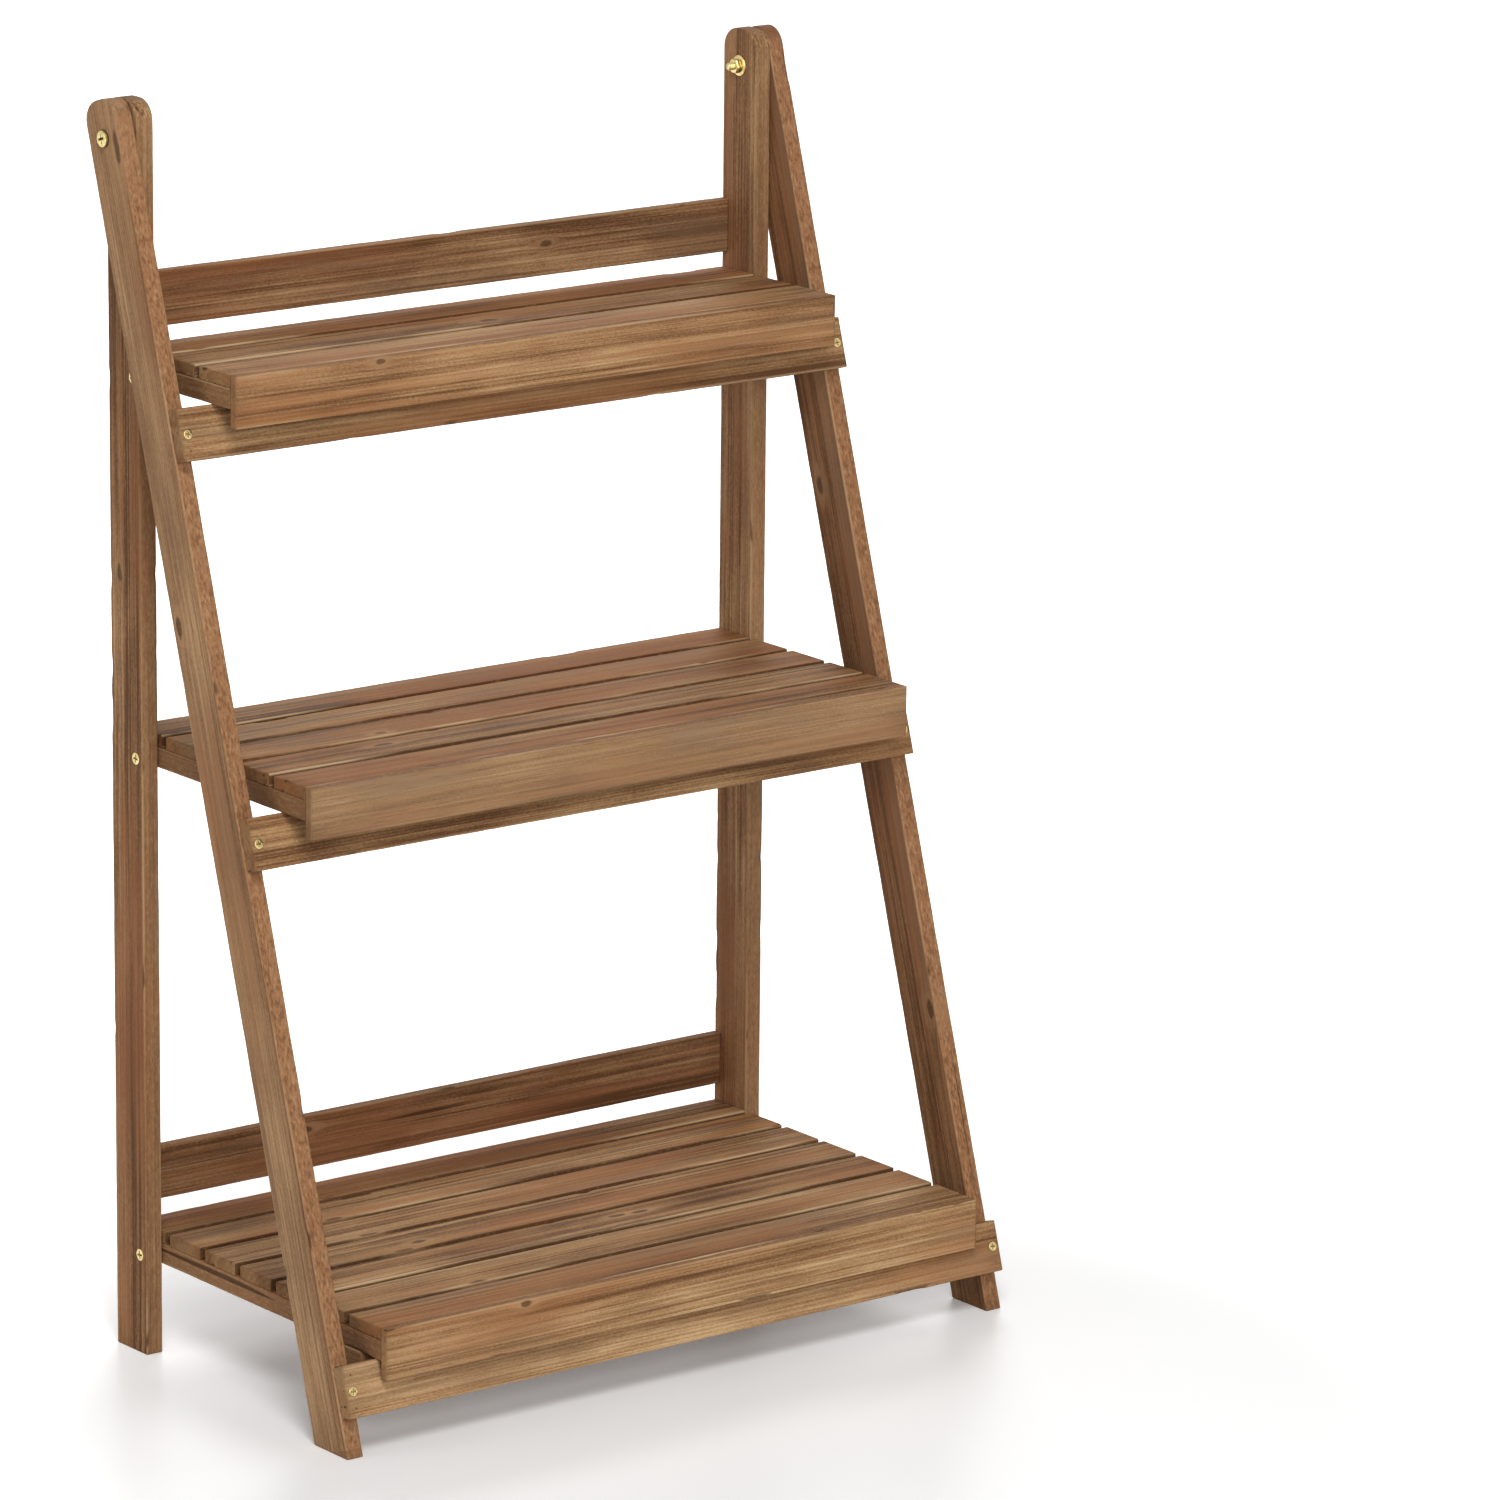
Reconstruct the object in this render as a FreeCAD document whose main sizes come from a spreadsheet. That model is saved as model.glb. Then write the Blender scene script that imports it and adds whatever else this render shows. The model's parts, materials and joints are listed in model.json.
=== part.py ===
import FreeCAD, Part
import math
import os
from types import SimpleNamespace

import Sketcher

# Folding plant stand with three slatted shelves, shown open on the floor.
# +Z is up, -Y is the front, and the origin is on the floor at the middle of the stand's box.
# The rear frame stands upright. The front frame leans on it and swings about the top bolts.
# Each shelf swings about two bolts in the rear legs and rests on a rail of the front frame.

# Driving sizes, in millimetres, and counts
SIZES = {
    # Legs
    "overall_width": 600,
    "rear_leg_height": 938,
    "leg_width": 40,
    "leg_thickness": 14,
    "leg_corner_radius": 16,
    "leg_gap": 1,
    "pivot_drop": 28,
    # Rails
    "front_rail_height": 38.5,
    "front_rail_thickness": 12,
    "front_rail_end_inset": 1,
    "back_rail_height": 41,
    "back_rail_thickness": 8,
    "back_rail_upper_rise": 12,
    "back_rail_lower_rise": 14,
    # Shelves
    "top_shelf_drop": 184.5,
    "middle_shelf_height": 471,
    "bottom_shelf_height": 93,
    "top_slat_count": 3,
    "middle_slat_count": 5,
    "bottom_slat_count": 7,
    "shelf_side_gap": 1,
    "slat_width": 40,
    "slat_thickness": 9.5,
    "slat_gap": 6.3,
    "slat_rear_inset": 2,
    "cleat_width": 30,
    "cleat_height": 15.4,
    "lip_height": 38.5,
    "lip_thickness": 7.5,
    # Stop blocks
    "block_length": 35,
    "block_depth": 36,
    "block_height": 16,
    # Clearances
    "edge_round": 1,
    "seat_gap": 0.3,
    "lip_rail_gap": 2.3,
    "block_rail_gap": 7,
    "fold_gap": 0.8,
    "running_gap": 0.08,
    "drive_gap": 0.02,
    "turning_gap": 0.2,
    # Bolts, washers and nuts
    "top_bolt_diameter": 6,
    "top_head_diameter": 13,
    "top_head_height": 3,
    "top_head_chamfer": 1,
    "top_bolt_end": 11,
    "washer_diameter": 16,
    "washer_thickness": 1.2,
    "top_nut_width": 10,
    "top_nut_height": 5,
    "shelf_bolt_diameter": 5,
    "shelf_head_diameter": 9.5,
    "shelf_nut_width": 8,
    "shelf_nut_height": 4,
    "shelf_bolt_end": 2.5,
    # Screws and brads
    "rail_screw_diameter": 4,
    "rail_screw_head_diameter": 7.5,
    "rail_screw_length": 35,
    "recess_width": 1.1,
    "recess_depth": 1.2,
    "recess_margin": 1.6,
    "brad_diameter": 1.6,
    "rail_brad_bite": 16,
    "rail_brad_spread": 12,
    "back_brad_bite": 15,
    "back_brad_spread": 10,
    "slat_brad_bite": 6,
    "slat_brad_across": 7,
    "slat_brad_along": 4,
    "pivot_brad_gap": 5.5,
    "block_brad_bite": 8,
    "block_brad_edge": 8,
}

SIDES = {"left": -1, "right": 1}
AXIS_X = FreeCAD.Vector(1, 0, 0)
AXIS_Y = FreeCAD.Vector(0, 1, 0)
AXIS_Z = FreeCAD.Vector(0, 0, 1)
QUARTER_TURN = 90
FULL_TURN = 360
HEX_HALF_ANGLE = 30


# Formulas over the sheet's sizes, written as ordinary sums
class Term:
    def __init__(self, text):
        self.text = text

    def __str__(self):
        return self.text

    def __add__(self, other):
        return Term(f"({self} + {other})")

    def __radd__(self, other):
        return Term(f"({other} + {self})")

    def __sub__(self, other):
        return Term(f"({self} - {other})")

    def __rsub__(self, other):
        return Term(f"({other} - {self})")

    def __mul__(self, other):
        return Term(f"({self} * {other})")

    __rmul__ = __mul__

    def __truediv__(self, other):
        return Term(f"({self} / {other})")

    def __neg__(self):
        return Term(f"(0 - {self})")


def sine(angle):
    return Term(f"sin({angle})")


def cosine(angle):
    return Term(f"cos({angle})")


doc = FreeCAD.newDocument("plant_stand")
sheet = doc.addObject("Spreadsheet::Sheet", "Sizes")
for row, (alias, value) in enumerate(SIZES.items(), 1):
    sheet.set(f"A{row}", alias)
    sheet.set(f"B{row}", str(value))
    sheet.setAlias(f"B{row}", alias)
layout = doc.addObject("App::VarSet", "Layout")
doc.recompute()
size = SimpleNamespace(**{alias: Term(f"Sizes.{alias}") for alias in SIZES})


# A place that several pieces share, worked out once from the driving sizes
def shared(name, formula):
    layout.addProperty("App::PropertyFloat", name, "Layout")
    layout.setExpression(name, str(formula))
    return Term(f"Layout.{name}")


# Widths, from the middle outwards
half_width = size.overall_width / 2
front_leg_inner = half_width - size.leg_thickness
rear_leg_outer = front_leg_inner - size.leg_gap
rear_leg_inner = rear_leg_outer - size.leg_thickness
shelf_end = rear_leg_inner - size.shelf_side_gap
half_leg = size.leg_width / 2


# Depths, forward from the rear legs' rear edges
def slat_front(number):
    return size.slat_rear_inset + number * size.slat_width + (number - 1) * size.slat_gap


pivot_height = size.rear_leg_height - size.pivot_drop
shelf_pivot_depth = shared("shelf_pivot_depth", size.leg_width - size.cleat_height / 2 - size.fold_gap)

# Heights of the shelves: the top one hangs from the leg tops, the others are measured from the floor
shelf_heights = {
    "top": size.rear_leg_height - size.top_shelf_drop,
    "middle": size.middle_shelf_height,
    "bottom": size.bottom_shelf_height,
}
shelf_depths = {
    "top": slat_front(size.top_slat_count),
    "middle": slat_front(size.middle_slat_count),
    "bottom": slat_front(size.bottom_slat_count),
}
cleat_drop = size.slat_thickness + size.cleat_height
pivot_below_top = size.slat_thickness + size.cleat_height / 2

# The front legs lean until a rail meets the back of its lip, which happens at the bottom shelf first
rail_reach = half_leg + size.front_rail_thickness
leans = []
for shelf, height in shelf_heights.items():
    lip_reach = shelf_depths[shelf] - size.lip_rail_gap - half_leg
    lip_fall = pivot_height - height + size.lip_height
    rail_turn = f"acos({rail_reach} / hypot({lip_reach}; {lip_fall}))"
    leans.append(shared(f"{shelf}_lean", f"({rail_turn} - atan2({lip_fall}; {lip_reach})) / 1deg"))
lean = shared("lean_angle", f"min({leans[0]}; {leans[1]}; {leans[2]})")

# The box runs from the bottom lip to the rounded tops of the leaning legs, which reach behind the rear legs
corner_reach = (half_leg - size.leg_corner_radius) * cosine(lean)
corner_rise = (size.pivot_drop - size.leg_corner_radius) * sine(lean)
rear_overhang = corner_reach + corner_rise + size.leg_corner_radius - half_leg
rear_edge = shared("rear_edge", (shelf_depths["bottom"] + size.lip_thickness - rear_overhang) / 2)

# Each front rail's rounded upper corner carries the cleats, so its drop down the leg follows from the shelf
rail_drops = {}
for shelf, height in shelf_heights.items():
    fall = pivot_height - height + cleat_drop + size.seat_gap + size.edge_round
    corner = (rail_reach - size.edge_round) * sine(lean)
    rail_drops[shelf] = shared(f"{shelf}_rail_drop", (fall + corner) / cosine(lean) - size.edge_round)

# The stop blocks stand behind the bottom rail's rear upper corner
block_front = shared(
    "block_front",
    half_leg + half_leg * cosine(lean) + rail_drops["bottom"] * sine(lean) - size.block_rail_gap,
)

# Frames in which the pieces are drawn: an origin, and a turn about X
REAR_FRAME = {"y": rear_edge - half_leg, "z": pivot_height, "turn": None}
FRONT_FRAME = {"y": rear_edge - half_leg, "z": pivot_height, "turn": -lean}
SHELF_FRAMES = {}
for shelf, height in shelf_heights.items():
    SHELF_FRAMES[shelf] = {"y": rear_edge, "z": height, "turn": None}

pieces = []


def bind(target, formulas):
    for name, formula in formulas.items():
        target.setExpression(name, str(formula))


def place(target, frame):
    bind(target, {"Placement.Base.y": frame["y"], "Placement.Base.z": frame["z"]})
    if frame["turn"] is not None:
        target.Placement = FreeCAD.Placement(FreeCAD.Vector(), FreeCAD.Rotation(AXIS_X, 1))
        bind(target, {"Placement.Rotation.Angle": frame["turn"]})


def new_body(name):
    body = doc.addObject("PartDesign::Body", name)
    body.Label = name
    return body


def attach(feature, body, plane, offset):
    planes = {item.Role: item for item in body.Origin.OriginFeatures}
    feature.AttachmentSupport = [(planes[plane], "")]
    feature.MapMode = "FlatFace"
    bind(feature, {f"AttachmentOffset.Base.{axis}": formula for axis, formula in zip("xyz", offset)})


def new_sketch(body, name, plane, offset):
    sketch = body.newObject("Sketcher::SketchObject", name)
    attach(sketch, body, plane, offset)
    return sketch


def dimension(sketch, name, kind, ends, start, formula):
    index = sketch.addConstraint(Sketcher.Constraint(kind, *ends, start))
    sketch.renameConstraint(index, name)
    bind(sketch, {f"Constraints.{name}": formula})


def point(x, y):
    return FreeCAD.Vector(x, y, 0)


def join_lines(sketch, corners):
    count = len(corners)
    for index in range(count):
        sketch.addGeometry(Part.LineSegment(corners[index], corners[(index + 1) % count]))
    for index in range(count):
        sketch.addConstraint(Sketcher.Constraint("Coincident", index, 2, (index + 1) % count, 1))


def pad(body, sketch, length):
    feature = body.newObject("PartDesign::Pad", f"{body.Name}_pad")
    feature.Profile = sketch
    bind(feature, {"Length": length})
    return feature


def soften(body, base):
    feature = body.newObject("PartDesign::Fillet", f"{body.Name}_edges")
    feature.Base = (base, [""])
    feature.UseAllEdges = True
    bind(feature, {"Radius": size.edge_round})


# A sawn board with softened edges: its low corner and its extents in the given frame
def board(name, frame, corner, extents):
    body = new_body(name)
    sketch = new_sketch(body, f"{name}_outline", "XY_Plane", corner)
    join_lines(sketch, [point(0, 0), point(1, 0), point(1, 1), point(0, 1)])
    for edge, kind in enumerate(("Horizontal", "Vertical", "Horizontal", "Vertical")):
        sketch.addConstraint(Sketcher.Constraint(kind, edge))
    sketch.addConstraint(Sketcher.Constraint("Coincident", 0, 1, -1, 1))
    dimension(sketch, "length", "DistanceX", (0, 1, 0, 2), 1, extents[0])
    dimension(sketch, "width", "DistanceY", (1, 1, 1, 2), 1, extents[1])
    soften(body, pad(body, sketch, extents[2]))
    place(body, frame)
    pieces.append(body)
    return body


# A leg with a rounded top, drawn about its pivot: front and rear edges reach down by their own lengths
def leg(name, frame, low_x, front_length, rear_length):
    body = new_body(name)
    sketch = new_sketch(body, f"{name}_outline", "YZ_Plane", (0, 0, low_x))
    half = SIZES["leg_width"] / 2
    top = SIZES["pivot_drop"]
    low = top - SIZES["rear_leg_height"]
    radius = SIZES["leg_corner_radius"]
    shoulder = top - radius
    flat = half - radius
    quarter = math.pi / 2
    rear_corner = Part.Circle(point(flat, shoulder), AXIS_Z, radius)
    front_corner = Part.Circle(point(-flat, shoulder), AXIS_Z, radius)
    sketch.addGeometry(Part.LineSegment(point(-half, low), point(half, low)))
    sketch.addGeometry(Part.LineSegment(point(half, low), point(half, shoulder)))
    sketch.addGeometry(Part.ArcOfCircle(rear_corner, 0, quarter))
    sketch.addGeometry(Part.LineSegment(point(flat, top), point(-flat, top)))
    sketch.addGeometry(Part.ArcOfCircle(front_corner, quarter, math.pi))
    sketch.addGeometry(Part.LineSegment(point(-half, shoulder), point(-half, low)))
    for first, second in ((0, 1), (5, 0)):
        sketch.addConstraint(Sketcher.Constraint("Coincident", first, 2, second, 1))
    for first, second in ((1, 2), (2, 3), (3, 4), (4, 5)):
        sketch.addConstraint(Sketcher.Constraint("Tangent", first, 2, second, 1))
    for edge, kind in ((1, "Vertical"), (5, "Vertical"), (3, "Horizontal")):
        sketch.addConstraint(Sketcher.Constraint(kind, edge))
    sketch.addConstraint(Sketcher.Constraint("Equal", 2, 4))
    dimension(sketch, "corner", "Radius", (2,), radius, size.leg_corner_radius)
    dimension(sketch, "front_half", "DistanceX", (0, 1, -1, 1), half, half_leg)
    dimension(sketch, "rear_half", "DistanceX", (-1, 1, 0, 2), half, half_leg)
    dimension(sketch, "top", "DistanceY", (-1, 1, 3, 1), top, size.pivot_drop)
    dimension(sketch, "front_length", "DistanceY", (0, 1, -1, 1), -low, front_length)
    dimension(sketch, "rear_length", "DistanceY", (0, 2, -1, 1), -low, rear_length)
    soften(body, pad(body, sketch, size.leg_thickness))
    place(body, frame)
    pieces.append(body)
    return body


# Round holes drilled at right angles to a plane: through the piece, or blind from that plane
def drill(body, name, plane, level, holes, depth=None, upwards=False):
    sketch = new_sketch(body, f"{body.Name}_{name}", plane, (0, 0, level))
    for index, (across, up, diameter, gap) in enumerate(holes):
        sketch.addGeometry(Part.Circle(point(0, 0), AXIS_Z, 1))
        dimension(sketch, f"across_{index}", "DistanceX", (-1, 1, index, 3), index + 1, across)
        dimension(sketch, f"up_{index}", "DistanceY", (-1, 1, index, 3), index + 1, up)
        dimension(sketch, f"radius_{index}", "Radius", (index,), 1, diameter / 2 + gap)
    cut = body.newObject("PartDesign::Pocket", f"{body.Name}_{name}_cut")
    cut.Profile = sketch
    if depth is None:
        cut.Type = "ThroughAll"
        cut.SideType = "Symmetric"
    else:
        cut.Reversed = upwards
        bind(cut, {"Length": depth})


# A conical seat for a flush head: low and high radius along the plane's normal
def countersink(body, name, plane, offset, low_diameter, high_diameter, depth):
    cone = body.newObject("PartDesign::SubtractiveCone", f"{body.Name}_{name}")
    attach(cone, body, plane, offset)
    bind(cone, {
        "Radius1": low_diameter / 2 + size.drive_gap,
        "Radius2": high_diameter / 2 + size.drive_gap,
        "Height": depth,
    })


# A turned fastener about Z: its section's corners as radius and height, and a cross recess in its head
def turned(name, section, recess_top, recess_span):
    body = new_body(name)
    sketch = new_sketch(body, f"{name}_section", "XZ_Plane", (0, 0, 0))
    join_lines(sketch, [point(index, index * index) for index in range(len(section))])
    for index, (radius, height) in enumerate(section):
        dimension(sketch, f"radius_{index}", "DistanceX", (-1, 1, index, 1), index, radius)
        dimension(sketch, f"height_{index}", "DistanceY", (-1, 1, index, 1), index, height)
    turn = body.newObject("PartDesign::Revolution", f"{name}_turn")
    turn.Profile = sketch
    turn.ReferenceAxis = (sketch, ["V_Axis"])
    turn.Angle = FULL_TURN
    arms = ((recess_span, size.recess_width), (size.recess_width, recess_span))
    for index, (length, width) in enumerate(arms):
        arm = body.newObject("PartDesign::SubtractiveBox", f"{name}_recess_{index}")
        attach(arm, body, "XY_Plane", (-length / 2, -width / 2, recess_top))
        bind(arm, {"Length": length, "Width": width, "Height": size.recess_depth})
    return body


def ring(name, outer, bore_diameter, height):
    bore = doc.addObject("Part::Cylinder", f"{name}_bore")
    bind(bore, {"Radius": bore_diameter / 2 + size.drive_gap, "Height": height})
    cut = doc.addObject("Part::Cut", name)
    cut.Base = outer
    cut.Tool = bore
    return cut


def washer(name, outer_diameter, bore_diameter, height):
    disc = doc.addObject("Part::Cylinder", f"{name}_disc")
    bind(disc, {"Radius": outer_diameter / 2, "Height": height})
    return ring(name, disc, bore_diameter, height)


def nut(name, width, bore_diameter, height):
    blank = doc.addObject("Part::Prism", f"{name}_blank")
    blank.Polygon = 6
    bind(blank, {"Circumradius": width / 2 / cosine(HEX_HALF_ANGLE), "Height": height})
    return ring(name, blank, bore_diameter, height)


def aim(target, axis, angle, spot):
    target.Placement = FreeCAD.Placement(FreeCAD.Vector(), FreeCAD.Rotation(axis, angle))
    bind(target, {f"Placement.Base.{letter}": formula for letter, formula in zip("xyz", spot)})


# Copies of one fastener, each aimed and put in its own spot in the frame
def group(name, frame, copies):
    node = doc.addObject("Part::Compound", name)
    node.Label = name
    node.Links = copies
    place(node, frame)
    pieces.append(node)


def copies_of(master, name, spots):
    copies = []
    for index, (axis, angle, spot) in enumerate(spots):
        copy = doc.addObject("App::Link", f"{name}_{index}")
        copy.LinkedObject = master
        copy.LinkTransform = False
        aim(copy, axis, angle, spot)
        copies.append(copy)
    return copies


def brads(name, length, spots):
    copies = []
    for index, (axis, angle, spot) in enumerate(spots):
        brad = doc.addObject("Part::Cylinder", f"{name}_{index}")
        bind(brad, {"Radius": size.brad_diameter / 2, "Height": length})
        aim(brad, axis, angle, spot)
        copies.append(brad)
    return copies


# The same spot on the left and the right, pointing inwards along X
def both_sides(distance, depth=0, height=0):
    return [(AXIS_Y, -sign * QUARTER_TURN, (sign * distance, depth, height)) for sign in SIDES.values()]


# Rear frame
shelf_pivots = {
    shelf: (half_leg - shelf_pivot_depth, height - pivot_below_top - pivot_height)
    for shelf, height in shelf_heights.items()
}
back_rails = {
    "upper": shelf_heights["top"] + size.back_rail_upper_rise - pivot_height,
    "lower": shelf_heights["bottom"] + size.back_rail_lower_rise - pivot_height,
}
shelf_sink = (size.shelf_head_diameter - size.shelf_bolt_diameter) / 2
back_brad_depth = half_leg - size.back_rail_thickness / 2
back_brad_spots = []
back_brad_holes = []
for rail, low in back_rails.items():
    body = board(
        f"back_rail_{rail}",
        REAR_FRAME,
        (-rear_leg_inner, half_leg - size.back_rail_thickness, low),
        (2 * rear_leg_inner, size.back_rail_thickness, size.back_rail_height),
    )
    brad_heights = [low + size.back_rail_height / 2 + way * size.back_brad_spread for way in (-1, 1)]
    bores = [(back_brad_depth, height, size.brad_diameter, size.drive_gap) for height in brad_heights]
    back_brad_holes += bores
    for side, sign in SIDES.items():
        end = sign * rear_leg_inner
        drill(body, f"brad_holes_{side}", "YZ_Plane", end, bores, size.back_brad_bite, sign < 0)
    for height in brad_heights:
        back_brad_spots += both_sides(rear_leg_outer, back_brad_depth, height)

for side, sign in SIDES.items():
    low_x = rear_leg_inner if sign > 0 else -rear_leg_outer
    body = leg(f"rear_leg_{side}", REAR_FRAME, low_x, pivot_height, pivot_height)
    holes = [(0, 0, size.top_bolt_diameter, size.drive_gap)]
    holes += [(*spot, size.shelf_bolt_diameter, size.drive_gap) for spot in shelf_pivots.values()]
    drill(body, "holes", "YZ_Plane", low_x, holes + back_brad_holes)
    for shelf, (depth, height) in shelf_pivots.items():
        diameters = [size.shelf_head_diameter, size.shelf_bolt_diameter]
        sink_x = -rear_leg_outer
        if sign > 0:
            diameters.reverse()
            sink_x = rear_leg_outer - shelf_sink
        countersink(body, f"{shelf}_seat", "YZ_Plane", (depth, height, sink_x), *diameters, shelf_sink)

back_brad_length = size.leg_thickness + size.back_brad_bite
group("back_rail_brads", REAR_FRAME, brads("back_rail_brad", back_brad_length, back_brad_spots))

# Bolts of the top pivots, heads outside the front legs, washers and nuts inside the rear legs
top_grip = size.turning_gap + 2 * size.leg_thickness + size.leg_gap
top_bolt_length = top_grip + size.top_bolt_end
top_bolt = turned(
    "top_bolt",
    [
        (0, -size.top_head_height),
        (size.top_head_diameter / 2 - size.top_head_chamfer, -size.top_head_height),
        (size.top_head_diameter / 2, size.top_head_chamfer - size.top_head_height),
        (size.top_head_diameter / 2, 0),
        (size.top_bolt_diameter / 2, 0),
        (size.top_bolt_diameter / 2, top_bolt_length),
        (0, top_bolt_length),
    ],
    -size.top_head_height,
    size.top_head_diameter - 2 * size.recess_margin,
)
top_washer = washer("top_washer", size.washer_diameter, size.top_bolt_diameter, size.washer_thickness)
top_nut = nut("top_nut", size.top_nut_width, size.top_bolt_diameter, size.top_nut_height)

top_head_seat = half_width + size.turning_gap
top_nut_seat = rear_leg_inner - size.washer_thickness
group("top_pivot_bolts", REAR_FRAME, copies_of(top_bolt, "top_bolt_copy", both_sides(top_head_seat)))
group("top_pivot_washers", REAR_FRAME, copies_of(top_washer, "top_washer_copy", both_sides(rear_leg_inner)))
group("top_pivot_nuts", REAR_FRAME, copies_of(top_nut, "top_nut_copy", both_sides(top_nut_seat)))

# Flush bolts of the shelf pivots, nuts on the side cleats' inner faces
shelf_nut_seat = shelf_end - size.cleat_width - size.turning_gap
shelf_bolt_tip = rear_leg_outer - shelf_nut_seat + size.shelf_nut_height + size.shelf_bolt_end
shelf_bolt = turned(
    "shelf_bolt",
    [
        (0, 0),
        (size.shelf_head_diameter / 2, 0),
        (size.shelf_bolt_diameter / 2, shelf_sink),
        (size.shelf_bolt_diameter / 2, shelf_bolt_tip),
        (0, shelf_bolt_tip),
    ],
    0,
    size.shelf_head_diameter - 2 * size.recess_margin,
)
shelf_nut = nut("shelf_nut", size.shelf_nut_width, size.shelf_bolt_diameter, size.shelf_nut_height)
bolt_spots = []
nut_spots = []
for depth, height in shelf_pivots.values():
    bolt_spots += both_sides(rear_leg_outer, depth, height)
    nut_spots += both_sides(shelf_nut_seat, depth, height)
group("shelf_pivot_bolts", REAR_FRAME, copies_of(shelf_bolt, "shelf_bolt_copy", bolt_spots))
group("shelf_pivot_nuts", REAR_FRAME, copies_of(shelf_nut, "shelf_nut_copy", nut_spots))

# Front frame: rails on the legs' front edges, each end held by a screw and two brads
screw_x = half_width - size.leg_thickness / 2
screw_sink = (size.rail_screw_head_diameter - size.rail_screw_diameter) / 2
rail_end = half_width - size.front_rail_end_inset
rail_brad_length = size.front_rail_thickness + size.rail_brad_bite
screw_spots = []
rail_brad_spots = []
leg_holes = {side: [] for side in SIDES}
for shelf, drop in rail_drops.items():
    body = board(
        f"front_rail_{shelf}",
        FRONT_FRAME,
        (-rail_end, -rail_reach, -(drop + size.front_rail_height)),
        (2 * rail_end, size.front_rail_thickness, size.front_rail_height),
    )
    middle = -(drop + size.front_rail_height / 2)
    bores = []
    for side, sign in SIDES.items():
        screw_hole = (sign * screw_x, middle, size.rail_screw_diameter, size.drive_gap)
        brad_heights = [middle + way * size.rail_brad_spread for way in (-1, 1)]
        brad_holes = [(sign * screw_x, up, size.brad_diameter, size.drive_gap) for up in brad_heights]
        bores += [screw_hole, *brad_holes]
        leg_holes[side].append((screw_hole, brad_holes))
        screw_spots.append((AXIS_X, -QUARTER_TURN, (sign * screw_x, -rail_reach, middle)))
        for height in brad_heights:
            rail_brad_spots.append((AXIS_X, -QUARTER_TURN, (sign * screw_x, -rail_reach, height)))
    drill(body, "holes", "XZ_Plane", rail_reach, bores)
    for side, sign in SIDES.items():
        countersink(
            body,
            f"seat_{side}",
            "XZ_Plane",
            (sign * screw_x, middle, rail_reach - screw_sink),
            size.rail_screw_diameter,
            size.rail_screw_head_diameter,
            screw_sink,
        )

# Feet are cut level, so the front edge of a leaning leg is longer than its rear edge
foot_rise = half_leg * sine(lean)
for side, sign in SIDES.items():
    low_x = front_leg_inner if sign > 0 else -half_width
    body = leg(
        f"front_leg_{side}",
        FRONT_FRAME,
        low_x,
        (pivot_height + foot_rise) / cosine(lean),
        (pivot_height - foot_rise) / cosine(lean),
    )
    drill(body, "pivot_hole", "YZ_Plane", low_x, [(0, 0, size.top_bolt_diameter, size.running_gap)])
    screw_holes = [screw_hole for screw_hole, _ in leg_holes[side]]
    brad_holes = [hole for _, holes in leg_holes[side] for hole in holes]
    screw_bite = size.rail_screw_length - size.front_rail_thickness
    drill(body, "screw_holes", "XZ_Plane", half_leg, screw_holes, screw_bite)
    drill(body, "brad_holes", "XZ_Plane", half_leg, brad_holes, size.rail_brad_bite)

rail_screw = turned(
    "rail_screw",
    [
        (0, 0),
        (size.rail_screw_head_diameter / 2, 0),
        (size.rail_screw_diameter / 2, screw_sink),
        (size.rail_screw_diameter / 2, size.rail_screw_length),
        (0, size.rail_screw_length),
    ],
    0,
    size.rail_screw_head_diameter - 2 * size.recess_margin,
)
group("front_rail_screws", FRONT_FRAME, copies_of(rail_screw, "rail_screw_copy", screw_spots))
group("front_rail_brads", FRONT_FRAME, brads("front_rail_brad", rail_brad_length, rail_brad_spots))

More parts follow.
